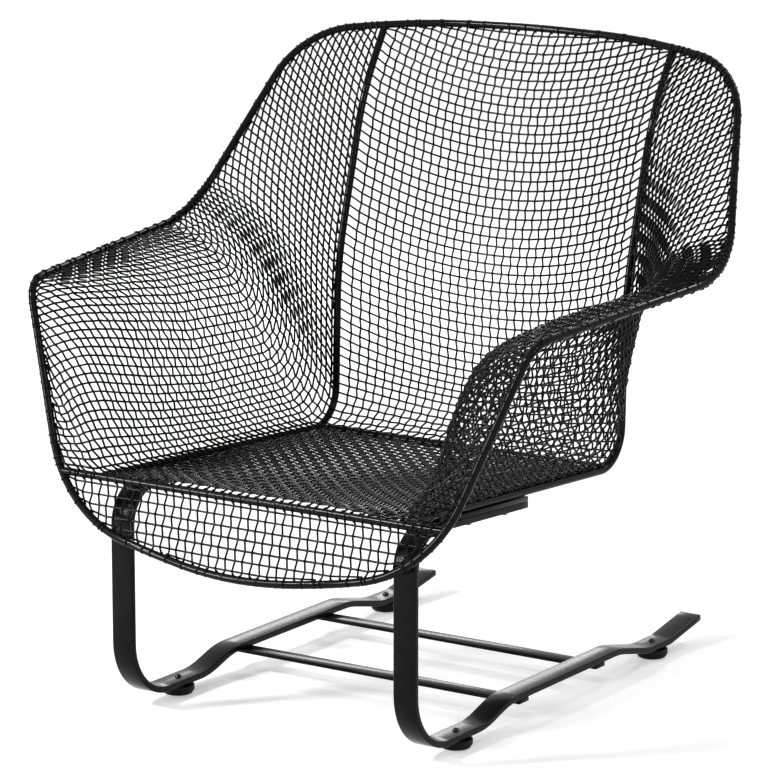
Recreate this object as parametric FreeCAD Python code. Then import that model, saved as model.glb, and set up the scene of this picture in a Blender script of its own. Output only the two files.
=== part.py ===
import FreeCAD, Part
import math
import os

from FreeCAD import Vector

# Spring rocking chair: a bucket seat of wire mesh in a rod frame, carried by two bent spring strips.
# Millimetres. +X is to the right seen from the front, +Y is the rear, +Z is up, the floor is Z = 0.
# Left and right are as seen from the front. The chair is symmetric about the plane X = 0.

# Rods of the seat frame
ROD_DIAMETER = 9.5
WELD_GAP = 0.3

# Rim: the corners of its right half, from the middle of the back's top to the middle of the front lip
TOP_MID_Y = 302.0
TOP_MID_Z = 781.5
SHOULDER_X = 158.0
SHOULDER_Y = 292.0
SHOULDER_Z = 779.0
TOP_CORNER_X = 321.0
TOP_CORNER_Y = 249.0
TOP_CORNER_Z = 761.5
NOTCH_X = 393.0
NOTCH_Y = 98.0
NOTCH_Z = 536.0
ARM_FRONT_X = 355.0
ARM_FRONT_Y = -281.0
ARM_FRONT_Z = 512.0
LOW_CORNER_X = 258.0
LOW_CORNER_Y = -342.0
LOW_CORNER_Z = 248.0
LIP_X = 131.0
LIP_Y = -345.0
LIP_Z = 220.0
LIP_MID_Y = -358.0
LIP_MID_Z = 202.0

# Bend radii of the rim at those corners
TOP_MID_RADIUS = 900.0
SHOULDER_RADIUS = 630.0
TOP_CORNER_RADIUS = 118.0
NOTCH_RADIUS = 120.0
ARM_FRONT_RADIUS = 38.0
LOW_CORNER_RADIUS = 170.0
LIP_RADIUS = 480.0
LIP_MID_RADIUS = 530.0

# Side rods: up the back, round the rear of the seat and forward under its edge
SIDE_ROD_X = 212.0
ROD_SHOULDER_Y = 227.0
ROD_SHOULDER_Z = 692.0
ROD_WAIST_Y = 169.0
ROD_WAIST_Z = 482.0
ROD_HEEL_Y = 162.0
ROD_HEEL_Z = 270.0
SHOULDER_BEND_RADIUS = 330.0
WAIST_BEND_RADIUS = 420.0
HEEL_BEND_RADIUS = 48.0

# Cross rods of the seat
FRONT_ROD_HEIGHT = 298.0
REAR_ROD_Y = 122.0

# Wire mesh
WIRE_SIZE = 2.0
MESH_PITCH = 24.2
LAYER_GAP = 0.95
WIRE_END_GAP = 0.3
WIRE_CHORD_ERROR = 1.2
LONGEST_CHORD = 42.0

# Centre of the back and seat: how far the mesh is dished, how far its rows hang in the middle, and over how
# far it takes to do so from the top and from the foot
BACK_DISH = 30.0
BACK_ROW_SAG = 42.0
BACK_TOP_BLEND = 220.0
BACK_FOOT_BLEND = 160.0
SEAT_DISH = 16.0

# Right side of the bucket, at shares of the way along the side rod from its top to its front: the share of the
# rim at which the rib from there ends, then how the rib leaves the side rod and how it rolls out to the rim,
# each as a direction times the rib's span. Past the last station the ribs start on the front cross rod.
SIDE_FORM = (
    (0.0, 0.0, Vector(0.32, -0.49, 0.67), Vector(0.62, 0.39, 0.8)),
    (0.12, 0.108, Vector(0.31, -0.52, 0.73), Vector(0.86, 0.35, 0.66)),
    (0.25, 0.215, Vector(0.29, -0.53, 0.8), Vector(1.12, 0.29, 0.48)),
    (0.38, 0.333, Vector(0.31, -0.58, 0.87), Vector(1.33, 0.26, 0.28)),
    (0.47, 0.383, Vector(0.26, -0.77, 0.91), Vector(1.54, 0.37, 0.17)),
    (0.56, 0.457, Vector(0.2, -1.1, 0.88), Vector(1.76, 0.46, 0.07)),
    (0.7, 0.59, Vector(0.13, -1.26, 0.88), Vector(1.85, 0.35, 0.0)),
    (0.82, 0.708, Vector(0.09, -1.09, 0.95), Vector(1.62, 0.06, 0.02)),
    (0.92, 0.791, Vector(0.18, -0.74, 0.93), Vector(1.06, -0.21, 0.38)),
    (1.0, 0.872, Vector(0.41, -0.41, 0.8), Vector(0.34, -0.35, 0.93)),
)
SIDE_FIRST_SHARE = 0.045
SIDE_LAST_SHARE = 0.9

# How finely the mesh is drawn: steps across and along its areas, along a rib, and along the rods it ends on
BACK_CROSS_STEPS = 8
SEAT_CROSS_STEPS = 6
SEAT_LENGTH_STEPS = 4
SIDE_LAYERS = 8
RIB_STEPS = 24
RAIL_END_STEPS = 10
TRACK_STEP = 3.0

# Spring strips
STRIP_X = 202.0
STRIP_WIDTH = 30.0
STRIP_THICKNESS = 8.0
STRIP_REAR_END_Y = -62.0
LEG_SETBACK = 42.0
TOP_BEND_RADIUS = 45.0
FOOT_BEND_RADIUS = 72.0
RAMP_FRONT_Y = -152.0
BRIDGE_FRONT_Y = -98.0
BRIDGE_REAR_Y = 160.0
RAMP_REAR_Y = 236.0
HEEL_Y = 286.0
TAIL_END_Y = 363.0
BRIDGE_RISE = 17.0
TAIL_RISE = 14.0
RAMP_BEND_RADIUS = 110.0
TAIL_BEND_RADIUS = 60.0
TAIL_CORNER_RADIUS = 3.0

# Seat rails between the side rods and the strips, with their studs and nuts
RAIL_THICKNESS = 6.0
RAIL_FRONT_Y = -236.0
RAIL_CLEARANCE = 0.3
STUD_DIAMETER = 6.0
STUD_HOLE_CLEARANCE = 0.4
STUD_INSET = 4.0
FRONT_STUD_Y = -165.0
REAR_STUD_Y = -85.0
NUT_WIDTH = 10.0
NUT_HEIGHT = 5.0
STUD_TAIL = 2.0

# Cross bars under the strips
BAR_WIDTH = 22.0
BAR_THICKNESS = 5.0
FRONT_BAR_INSET = 2.0
REAR_BAR_INSET = 26.0

# Glides and their rivets
GLIDE_DIAMETER = 40.0
GLIDE_HEIGHT = 13.0
GLIDE_SOLE_DIAMETER = 27.0
GLIDE_BELLY = 2.6
GLIDE_LIP_WIDTH = 3.0
GLIDE_LIP_DROP = 1.5
GLIDE_CUP_DEPTH = 4.0
GLIDE_BOSS_DIAMETER = 19.0
GLIDE_FRONT_Y = -196.0
GLIDE_REAR_Y = 264.0
RIVET_DIAMETER = 5.0
RIVET_HEAD_DIAMETER = 9.0
RIVET_HEAD_HEIGHT = 3.2
RIVET_CLEARANCE = 0.3
RIVET_DEPTH = 7.0

RIM_TOP_MID = Vector(0, TOP_MID_Y, TOP_MID_Z)
RIM_SHOULDER = Vector(SHOULDER_X, SHOULDER_Y, SHOULDER_Z)
RIM_TOP_CORNER = Vector(TOP_CORNER_X, TOP_CORNER_Y, TOP_CORNER_Z)
RIM_NOTCH = Vector(NOTCH_X, NOTCH_Y, NOTCH_Z)
RIM_ARM_FRONT = Vector(ARM_FRONT_X, ARM_FRONT_Y, ARM_FRONT_Z)
RIM_LOW_CORNER = Vector(LOW_CORNER_X, LOW_CORNER_Y, LOW_CORNER_Z)
RIM_LIP = Vector(LIP_X, LIP_Y, LIP_Z)
RIM_LIP_MID = Vector(0, LIP_MID_Y, LIP_MID_Z)
SIDE_ROD_SHOULDER = Vector(SIDE_ROD_X, ROD_SHOULDER_Y, ROD_SHOULDER_Z)
SIDE_ROD_WAIST = Vector(SIDE_ROD_X, ROD_WAIST_Y, ROD_WAIST_Z)
SIDE_ROD_HEEL = Vector(SIDE_ROD_X, ROD_HEEL_Y, ROD_HEEL_Z)
LEG_Y = LIP_Y + LEG_SETBACK
STUD_YS = (FRONT_STUD_Y, REAR_STUD_Y)
ROD_RADIUS = ROD_DIAMETER / 2
STRIP_FLOOR_Z = GLIDE_HEIGHT + STRIP_THICKNESS / 2
UP = Vector(0, 0, 1)
OUT = Vector(1, 0, 0)

# Closeness of searches and comparisons
HALVINGS = 50
SHORTEST_EDGE = 1e-6
SAME_LENGTH = 1e-3
NEARLY_UPRIGHT = 0.9


# Paths: straight runs joined by tangent arcs

def mirrored(point):
    """The same point on the other side of the chair."""
    return Vector(-point.x, point.y, point.z)


class RoundedPath:
    """A polyline whose inner corners are rounded by tangent arcs."""

    def __init__(self, points, radii):
        self.edges = []
        self.corners = points[1:-1]
        self.bends = []
        start = points[0]
        for before, corner, after, radius in zip(points, points[1:], points[2:], radii):
            back = (before - corner).normalize()
            ahead = (after - corner).normalize()
            half = back.getAngle(ahead) / 2
            cut = radius / math.tan(half)
            middle = (back + ahead).normalize()
            first = corner + back * cut
            last = corner + ahead * cut
            crown = corner + middle * (radius / math.sin(half) - radius)
            self.edges.append(Part.LineSegment(start, first).toShape())
            self.edges.append(Part.Arc(first, crown, last).toShape())
            self.bends.append(sum(edge.Length for edge in self.edges) - self.edges[-1].Length / 2)
            start = last
        self.edges.append(Part.LineSegment(start, points[-1]).toShape())
        self.length = sum(edge.Length for edge in self.edges)

    def bend(self, corner):
        """The distance along the path to the middle of the bend at a corner."""
        return self.bends[self.corners.index(corner)]

    def _locate(self, distance):
        """The edge at a distance along the path, and the parameter on it."""
        for edge in self.edges[:-1]:
            if distance <= edge.Length:
                return edge, edge.getParameterByLength(max(distance, 0.0))
            distance -= edge.Length
        edge = self.edges[-1]
        return edge, edge.getParameterByLength(min(distance, edge.Length))

    def point(self, distance):
        """The point at a distance along the path."""
        edge, parameter = self._locate(distance)
        return edge.valueAt(parameter)

    def tangent(self, distance):
        """The direction of the path at a distance along it."""
        edge, parameter = self._locate(distance)
        return edge.tangentAt(parameter)

    def find(self, measure, value, low=0.0, high=None):
        """The distance at which a measure of the point, falling along the path, reaches a value."""
        high = self.length if high is None else high
        for _ in range(HALVINGS):
            middle = (low + high) / 2
            if measure(self.point(middle)) > value:
                low = middle
            else:
                high = middle
        return (low + high) / 2

    def piece(self, start, end):
        """The edges between two distances along the path."""
        kept = []
        passed = 0.0
        for edge in self.edges:
            low = max(start - passed, 0.0)
            high = min(end - passed, edge.Length)
            if high - low > SHORTEST_EDGE:
                first = edge.getParameterByLength(low)
                last = edge.getParameterByLength(high)
                kept.append(edge.Curve.toShape(first, last))
            passed += edge.Length
        return kept

    def samples(self, start, end, step):
        """Evenly spaced points between two distances."""
        count = max(2, math.ceil((end - start) / step) + 1)
        return [self.point(start + (end - start) * i / (count - 1)) for i in range(count)]

    def knots(self, chord_error, longest):
        """Distances along the path, at steps that keep a chord error and a longest step."""
        marks = [0.0]
        for edge in self.edges:
            step = longest
            if hasattr(edge.Curve, "Radius"):
                step = min(longest, math.sqrt(8 * edge.Curve.Radius * chord_error))
            steps = max(1, round(edge.Length / step))
            marks += [marks[-1] + edge.Length / steps * (i + 1) for i in range(steps)]
        return marks


def rod(edges, radius=ROD_RADIUS):
    """A round rod along joined edges."""
    first = edges[0]
    start = first.FirstParameter
    circle = Part.Wire([Part.makeCircle(radius, first.valueAt(start), first.tangentAt(start))])
    return Part.Wire(edges).makePipeShell([circle], True, False)


def straight_rod(start, end, radius=ROD_RADIUS):
    """A straight round rod."""
    axis = end - start
    return Part.makeCylinder(radius, axis.Length, start, axis)


def coped(shape, path, at):
    """A rod whose end is hollowed to fit another rod, at a distance along that rod's path."""
    reach = 2 * ROD_DIAMETER
    other = path.piece(max(at - reach, 0.0), min(at + reach, path.length))
    return shape.cut(rod(other, ROD_RADIUS + WELD_GAP))


def mirror(shape):
    """A shape on the other side of the chair."""
    return shape.mirror(Vector(0, 0, 0), OUT)


# Seat frame

HALF_RIM = RoundedPath(
    [mirrored(RIM_SHOULDER), RIM_TOP_MID, RIM_SHOULDER, RIM_TOP_CORNER, RIM_NOTCH, RIM_ARM_FRONT,
     RIM_LOW_CORNER, RIM_LIP, RIM_LIP_MID, mirrored(RIM_LIP)],
    [TOP_MID_RADIUS, SHOULDER_RADIUS, TOP_CORNER_RADIUS, NOTCH_RADIUS, ARM_FRONT_RADIUS, LOW_CORNER_RADIUS,
     LIP_RADIUS, LIP_MID_RADIUS])
RIM_REACH = HALF_RIM.find(lambda p: -p.x, 0.0)
RIM_TOP_JOINT = HALF_RIM.find(lambda p: -p.x, -SIDE_ROD_X, 0.0, HALF_RIM.bend(RIM_TOP_CORNER))
RIM_FRONT_JOINT = HALF_RIM.find(lambda p: p.z, FRONT_ROD_HEIGHT)
RIM_LIP_MIDDLE = HALF_RIM.find(lambda p: p.x, 0.0, RIM_FRONT_JOINT)

FRONT_ROD_END = HALF_RIM.point(RIM_FRONT_JOINT)
SIDE_ROD_FRONT = Vector(SIDE_ROD_X, FRONT_ROD_END.y, FRONT_ROD_END.z)
SIDE_ROD = RoundedPath(
    [HALF_RIM.point(RIM_TOP_JOINT), SIDE_ROD_SHOULDER, SIDE_ROD_WAIST, SIDE_ROD_HEEL, SIDE_ROD_FRONT],
    [SHOULDER_BEND_RADIUS, WAIST_BEND_RADIUS, HEEL_BEND_RADIUS])
REAR_ROD_AT = SIDE_ROD.find(lambda p: p.y, REAR_ROD_Y, SIDE_ROD.bend(SIDE_ROD_HEEL))
REAR_ROD_END = SIDE_ROD.point(REAR_ROD_AT)
SIDE_FOOT_LENGTH = SIDE_ROD.length + FRONT_ROD_END.x - SIDE_ROD_X


def rim_nodes():
    """The rim as four bent rods, welded end to end."""
    side = rod(HALF_RIM.piece(RIM_TOP_JOINT + WELD_GAP / 2, RIM_FRONT_JOINT - WELD_GAP / 2))
    top = whole_rod(HALF_RIM.piece(RIM_REACH, RIM_TOP_JOINT - WELD_GAP / 2))
    lip = whole_rod(list(reversed(HALF_RIM.piece(RIM_FRONT_JOINT + WELD_GAP / 2, RIM_LIP_MIDDLE))))
    return {"rim_top": top, "rim_front": lip, "rim_right": side, "rim_left": mirror(side)}


def whole_rod(half_edges):
    """A rod along a half path, given from the middle outwards, and its mirror image."""
    other = [mirror(edge) for edge in half_edges]
    wire = Part.Wire(list(reversed(other)) + half_edges)
    last = half_edges[-1]
    ends = [(last.valueAt(m), last.tangentAt(m)) for m in (last.FirstParameter, last.LastParameter)]
    place, direction = max(ends, key=lambda end: end[0].x)
    circle = Part.Wire([Part.makeCircle(ROD_RADIUS, place, direction)])
    return wire.makePipeShell([circle], True, False)


def side_rod():
    """The right side rod, from under the rim's top to behind the front cross rod."""
    bar = rod(SIDE_ROD.edges)
    bar = coped(bar, HALF_RIM, RIM_TOP_JOINT)
    return bar.cut(straight_rod(mirrored(FRONT_ROD_END), FRONT_ROD_END, ROD_RADIUS + WELD_GAP))


def cross_rod(end, path, at):
    """A straight rod across the seat between a rod and its mirror image."""
    half = coped(straight_rod(Vector(0, end.y, end.z), end), path, at)
    return half.fuse(mirror(half)).removeSplitter()


# Mesh: straight-sided wires on a patchwork of flat-ruled fields, in two layers

WIRE_HALF = WIRE_SIZE / 2
LAYER_SHIFT = (WIRE_SIZE + LAYER_GAP) / 2


def lerp(a, b, share):
    """A value part of the way from a to b."""
    return a + (b - a) * share


class Field:
    """A mesh surface as a grid of points and normals over two parameters."""

    def __init__(self, surface, us, vs):
        self.us = us
        self.vs = vs
        self.points = [[surface(u, v) for v in vs] for u in us]
        self.normals = [[self._normal(i, j) for j in range(len(vs))] for i in range(len(us))]

    def _normal(self, i, j):
        """The surface's normal at a grid point."""
        i0, i1 = max(i - 1, 0), min(i + 1, len(self.us) - 1)
        j0, j1 = max(j - 1, 0), min(j + 1, len(self.vs) - 1)
        along_u = self.points[i1][j] - self.points[i0][j]
        along_v = self.points[i][j1] - self.points[i][j0]
        return along_u.cross(along_v).normalize()

    @staticmethod
    def cell(knots, value):
        """The cell of a list of knots that holds a value, and the share of the way across it."""
        for index in range(len(knots) - 2):
            if value < knots[index + 1]:
                return index, (value - knots[index]) / (knots[index + 1] - knots[index])
        return len(knots) - 2, (value - knots[-2]) / (knots[-1] - knots[-2])

    def at(self, u, v, layer):
        """A point of the field, moved along the normal into one of the two layers."""
        i, p = self.cell(self.us, u)
        j, q = self.cell(self.vs, v)

        def corner(a, b):
            return self.points[a][b] + self.normals[a][b] * layer

        near = lerp(corner(i, j), corner(i, j + 1), q)
        far = lerp(corner(i + 1, j), corner(i + 1, j + 1), q)
        return lerp(near, far, p)

    def line(self, places, layer):
        """A wire through places of the field, with the field's normal at its start."""
        points = [self.at(u, v, layer) for u, v in places]
        u, v = places[0]
        return points, self.at(u, v, 1.0) - self.at(u, v, 0.0)

    def along_u(self, v, low, high, layer):
        """The wire of constant v between two values of u."""
        inner = [u for u in self.us if low < u < high]
        return self.line([(u, v) for u in [low] + inner + [high]], layer)

    def along_v(self, u, low, high, layer):
        """The wire of constant u between two values of v."""
        inner = [v for v in self.vs if low < v < high]
        return self.line([(u, v) for v in [low] + inner + [high]], layer)


def end_corners(end, neighbour):
    """The centre and corners of a wire's end."""
    direction = (neighbour - end).normalize()
    side = direction.cross(UP if abs(direction.z) < NEARLY_UPRIGHT else OUT).normalize()
    other = direction.cross(side)
    ring = [side * WIRE_HALF + other * WIRE_HALF, side * WIRE_HALF - other * WIRE_HALF]
    return [end] + [end + r for r in ring] + [end - r for r in ring]


def nearest(point, track):
    """The distance from a point to a sampled line."""
    best = min(range(len(track)), key=lambda i: (track[i] - point).Length)
    distance = (track[best] - point).Length
    for a, b in ((best - 1, best), (best, best + 1)):
        if 0 <= a and b < len(track):
            run = track[b] - track[a]
            share = max(0.0, min(1.0, (point - track[a]).dot(run) / run.dot(run)))
            distance = min(distance, (track[a] + run * share - point).Length)
    return distance


def trimmed(points, tracks):
    """A wire's points with its first end drawn back until it clears the rods."""
    points = list(points)
    limit = ROD_RADIUS + WIRE_END_GAP
    slack = WIRE_END_GAP / 4
    while len(points) > 1:
        corners = end_corners(points[0], points[1])
        short = limit - min(nearest(c, track) for c in corners for track in tracks)
        if short <= 0:
            return points
        run = points[1] - points[0]
        if run.Length <= short + WIRE_SIZE:
            points.pop(0)
        else:
            points[0] = points[0] + run.normalize() * max(short, slack)
    return points


def wire_solid(points, normal):
    """A wire of square section with mitred bends."""
    direction = (points[1] - points[0]).normalize()
    side = direction.cross(normal).normalize()
    lift = side.cross(direction)
    ring = [points[0] + side * (a * WIRE_HALF) + lift * (b * WIRE_HALF)
            for a, b in ((1, 1), (-1, 1), (-1, -1), (1, -1))]
    rings = [ring]
    for index in range(1, len(points)):
        direction = (points[index] - points[index - 1]).normalize()
        mitre = direction
        if index + 1 < len(points):
            mitre = direction + (points[index + 1] - points[index]).normalize()
        slope = direction.dot(mitre)
        ring = [corner + direction * ((points[index] - corner).dot(mitre) / slope) for corner in ring]
        rings.append(ring)
    faces = [Part.Face(Part.makePolygon(loop + loop[:1])) for loop in (rings[0], rings[-1])]
    for near, far in zip(rings, rings[1:]):
        for a, b in ((0, 1), (1, 2), (2, 3), (3, 0)):
            faces.append(Part.Face(Part.makePolygon([near[a], near[b], far[b], far[a], near[a]])))
    solid = Part.Solid(Part.Shell(faces))
    if solid.Volume < 0:
        solid.reverse()
    return solid


def woven(lines, tracks):
    """One layer of wires: each line cleared of the rods at both ends."""
    solids = []
    for points, normal in lines:
        points = trimmed(points, tracks)
        points = list(reversed(trimmed(reversed(points), tracks)))
        if sum((b - a).Length for a, b in zip(points, points[1:])) > MESH_PITCH / 2:
            solids.append(wire_solid(points, normal))
    return Part.Compound(solids)


def spaced(low, high):
    """Places of wires between two limits, a pitch apart and even about the middle."""
    count = max(1, int((high - low) / MESH_PITCH))
    first = (low + high) / 2 - (count - 1) / 2 * MESH_PITCH
    return [first + i * MESH_PITCH for i in range(count)]


def share_knots(count):
    """Evenly spaced knots from -1 to 1."""
    return [2 * i / count - 1 for i in range(count + 1)]


def eased(share):
    """A share held between 0 and 1 that starts and stops gently."""
    share = max(0.0, min(1.0, share))
    return share * share * (3 - 2 * share)


SIDE_TRACK = SIDE_ROD.samples(0, SIDE_ROD.length, TRACK_STEP)
RIM_TRACK = HALF_RIM.samples(RIM_REACH, RIM_LIP_MIDDLE, TRACK_STEP)
ROD_TRACKS = [SIDE_TRACK, [mirrored(p) for p in SIDE_TRACK], RIM_TRACK, [mirrored(p) for p in RIM_TRACK],
              [mirrored(FRONT_ROD_END), FRONT_ROD_END], [mirrored(REAR_ROD_END), REAR_ROD_END]]


def back_top(u):
    """The rim above a column of the back, from the side rod's top: distance along it and depth behind it."""
    at = HALF_RIM.find(lambda p: -p.x, -abs(u) * SIDE_ROD_X, RIM_REACH, RIM_TOP_JOINT)
    rise = HALF_RIM.point(at) - SIDE_ROD.point(0)
    tangent = SIDE_ROD.tangent(0)
    return rise.dot(tangent), rise.dot(OUT.cross(tangent))


def row_hang(u):
    """How far a full row hangs below its ends."""
    return BACK_ROW_SAG * (1 - u * u)


def back_surface(u, v):
    """The back's centre: u runs across between the side rods, v down them, and its rows hang."""
    top, top_depth = back_top(u)
    fade = eased((REAR_ROD_AT - v) / BACK_FOOT_BLEND)
    distance = v + row_hang(u) * fade
    base = SIDE_ROD.point(distance)
    tangent = SIDE_ROD.tangent(distance)
    if distance < 0:
        base = base + tangent * distance
    depth = lerp(top_depth, BACK_DISH * (1 - u * u) * fade, eased((distance - top) / BACK_TOP_BLEND))
    return Vector(u * SIDE_ROD_X, base.y, base.z) + OUT.cross(tangent) * depth


def column_top(u):
    """The place on a column of the back where it meets the rim."""
    return back_top(u)[0] - row_hang(u)


def row_reach(v):
    """How far across a row of the back goes before it meets the rim or the side rods."""
    low, high = 0.0, 1.0
    if v > 0:
        return high
    for _ in range(HALVINGS):
        middle = (low + high) / 2
        if column_top(middle) < v:
            low = middle
        else:
            high = middle
    return low


def seat_surface(u, v):
    """The seat's centre: u runs across, v forward from the rear cross rod to the front one."""
    base = lerp(REAR_ROD_END, FRONT_ROD_END, v)
    dip = SEAT_DISH * (1 - u * u) ** 2 * 4 * v * (1 - v)
    return Vector(u * SIDE_ROD_X, base.y, base.z - dip)


def lip_surface(x, v):
    """The lip under the front cross rod: v runs from the rod to the rim below it."""
    at = HALF_RIM.find(lambda p: p.x, abs(x), RIM_FRONT_JOINT, RIM_LIP_MIDDLE)
    foot = HALF_RIM.point(at)
    return lerp(Vector(x, FRONT_ROD_END.y, FRONT_ROD_END.z), Vector(x, foot.y, foot.z), v)


def back_nodes():
    """The back's columns and rows."""
    low = column_top(0.0)
    knots = [v for v in SIDE_ROD.knots(WIRE_CHORD_ERROR, LONGEST_CHORD) if v < REAR_ROD_AT]
    field = Field(back_surface, share_knots(BACK_CROSS_STEPS), [low] + knots + [REAR_ROD_AT])
    columns = []
    for x in spaced(-SIDE_ROD_X, SIDE_ROD_X):
        u = x / SIDE_ROD_X
        columns.append(field.along_v(u, column_top(u), REAR_ROD_AT, LAYER_SHIFT))
    rows = []
    for v in spaced(low, REAR_ROD_AT):
        rows.append(field.along_u(v, -row_reach(v), row_reach(v), -LAYER_SHIFT))
    return {"back_mesh_columns": woven(columns, ROD_TRACKS), "back_mesh_rows": woven(rows, ROD_TRACKS)}


def seat_nodes():
    """The seat's columns and rows."""
    shares = [i / SEAT_LENGTH_STEPS for i in range(SEAT_LENGTH_STEPS + 1)]
    field = Field(seat_surface, share_knots(SEAT_CROSS_STEPS), shares)
    length = REAR_ROD_END.y - FRONT_ROD_END.y
    columns = [field.along_v(x / SIDE_ROD_X, 0, 1, LAYER_SHIFT) for x in spaced(-SIDE_ROD_X, SIDE_ROD_X)]
    rows = [field.along_u(d / length, -1, 1, -LAYER_SHIFT) for d in spaced(0, length)]
    return {"seat_mesh_columns": woven(columns, ROD_TRACKS), "seat_mesh_rows": woven(rows, ROD_TRACKS)}


def lip_nodes():
    """The lip's columns and rows, each row bent where it crosses a column."""
    reach = FRONT_ROD_END.x
    drop = FRONT_ROD_END.z - HALF_RIM.point(RIM_LIP_MIDDLE).z
    crossings = spaced(-reach, reach)
    field = Field(lip_surface, crossings, [0, 1])
    columns = [field.along_v(x, 0, 1, LAYER_SHIFT) for x in crossings]
    rows = []
    for fall in spaced(0, drop):
        height = FRONT_ROD_END.z - fall
        end = HALF_RIM.point(HALF_RIM.find(lambda p: p.z, height, RIM_FRONT_JOINT, RIM_LIP_MIDDLE)).x
        inside = [-end] + [x for x in crossings if abs(x) < end - WIRE_SIZE] + [end]
        places = [(x, fall / (FRONT_ROD_END.z - lip_surface(x, 1).z)) for x in inside]
        rows.append(field.line(places, -LAYER_SHIFT))
    return {"lip_mesh_columns": woven(columns, ROD_TRACKS), "lip_mesh_rows": woven(rows, ROD_TRACKS)}


def section_length(samples):
    """The length of a sampled line."""
    return sum((b - a).Length for a, b in zip(samples, samples[1:]))


def evenly(samples):
    """A sampled line with its points moved to even spacing."""
    total = section_length(samples)
    even = [samples[0]]
    passed = 0.0
    for a, b in zip(samples, samples[1:]):
        run = (b - a).Length
        while len(even) < RIB_STEPS and passed + run >= total * len(even) / RIB_STEPS:
            even.append(lerp(a, b, (total * len(even) / RIB_STEPS - passed) / run))
        passed += run
    return even + [samples[-1]]


def side_form(share):
    """The share of the rim at which a rib ends and its slopes at both ends, between two stations of the table."""
    for (s0, rim0, wall0, flare0), (s1, rim1, wall1, flare1) in zip(SIDE_FORM, SIDE_FORM[1:]):
        if share <= s1:
            part = (share - s0) / (s1 - s0)
            return lerp(rim0, rim1, part), lerp(wall0, wall1, part), lerp(flare0, flare1, part)
    last, rim, wall, flare = SIDE_FORM[-1]
    part = (share - last) / (SIDE_FOOT_LENGTH / SIDE_ROD.length - last)
    return lerp(rim, 1.0, part), wall, flare


def side_rib(share):
    """One rib of the right side, from the side rod or the front cross rod to the rim."""
    rim_share, wall, flare = side_form(share)
    distance = share * SIDE_ROD.length
    foot = SIDE_ROD.point(distance) + OUT * max(0.0, distance - SIDE_ROD.length)
    head = HALF_RIM.point(lerp(RIM_TOP_JOINT, RIM_FRONT_JOINT, rim_share))
    chord = (head - foot).Length
    samples = []
    for i in range(RIB_STEPS + 1):
        t = i / RIB_STEPS
        samples.append(foot * (2 * t ** 3 - 3 * t ** 2 + 1) + wall * (chord * (t ** 3 - 2 * t ** 2 + t))
                       + head * (3 * t ** 2 - 2 * t ** 3) + flare * (chord * (t ** 3 - t ** 2)))
    return evenly(samples)


def side_surface(share, distance):
    """The right side at a distance from the side rod along one rib, carried straight on past the rim."""
    samples = side_rib(share)
    for a, b in zip(samples, samples[1:]):
        run = (b - a).Length
        if distance <= run:
            return lerp(a, b, distance / run)
        distance -= run
    return samples[-1] + (samples[-1] - samples[-2]).normalize() * distance


def side_knots():
    """Shares of the side rod at the ends of its runs and at short steps round its bends, then on the cross rod."""
    first = SIDE_FIRST_SHARE * SIDE_ROD.length
    last = lerp(SIDE_ROD.length, SIDE_FOOT_LENGTH, SIDE_LAST_SHARE)
    inner = [k for k in SIDE_ROD.knots(WIRE_CHORD_ERROR, LONGEST_CHORD) if k > first]
    return [k / SIDE_ROD.length for k in [first] + inner + [last]]


def side_nodes():
    """The right and left sides: ribs from the side rod to the rim, and rails that follow the side rod."""
    shares = side_knots()
    widths = [section_length(side_rib(s)) for s in shares]
    depth = max(widths)
    field = Field(side_surface, shares, [depth * i / SIDE_LAYERS for i in range(SIDE_LAYERS + 1)])

    def width(share):
        i, p = Field.cell(shares, share)
        return lerp(widths[i], widths[i + 1], p)

    ribs = []
    for place in spaced(shares[0] * SIDE_ROD.length, shares[-1] * SIDE_ROD.length):
        share = place / SIDE_ROD.length
        ribs.append(field.along_v(share, 0, width(share), LAYER_SHIFT))
    rails = []
    for i in range(1, math.ceil(depth / MESH_PITCH)):
        runs = [[]]
        for share in refined(shares):
            if width(share) > i * MESH_PITCH:
                runs[-1].append(share)
            elif runs[-1]:
                runs.append([])
        rails += [field.along_u(i * MESH_PITCH, run[0], run[-1], -LAYER_SHIFT) for run in runs if len(run) > 1]
    rib_set = woven(ribs, ROD_TRACKS)
    rail_set = woven(rails, ROD_TRACKS)
    return {"side_mesh_right_ribs": rib_set, "side_mesh_right_rails": rail_set,
            "side_mesh_left_ribs": mirror(rib_set), "side_mesh_left_rails": mirror(rail_set)}


def refined(knots):
    """Knots with more of them between each two."""
    steps = [i / RAIL_END_STEPS for i in range(RAIL_END_STEPS)]
    return [lerp(a, b, step) for a, b in zip(knots, knots[1:]) for step in steps] + knots[-1:]


# Spring strips, rails and their fasteners

RAIL_DROP = ROD_RADIUS + WELD_GAP + RAIL_THICKNESS
STRIP_DROP = RAIL_DROP + RAIL_CLEARANCE + STRIP_THICKNESS / 2


def rod_line(y, drop):
    """A point under the straight run of the side rod, a square distance below its axis."""
    run = SIDE_ROD_FRONT - SIDE_ROD_HEEL
    slope = run.z / run.y
    height = SIDE_ROD_HEEL.z + (y - SIDE_ROD_HEEL.y) * slope
    return Vector(0, y, height - drop * math.sqrt(1 + slope * slope))


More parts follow.
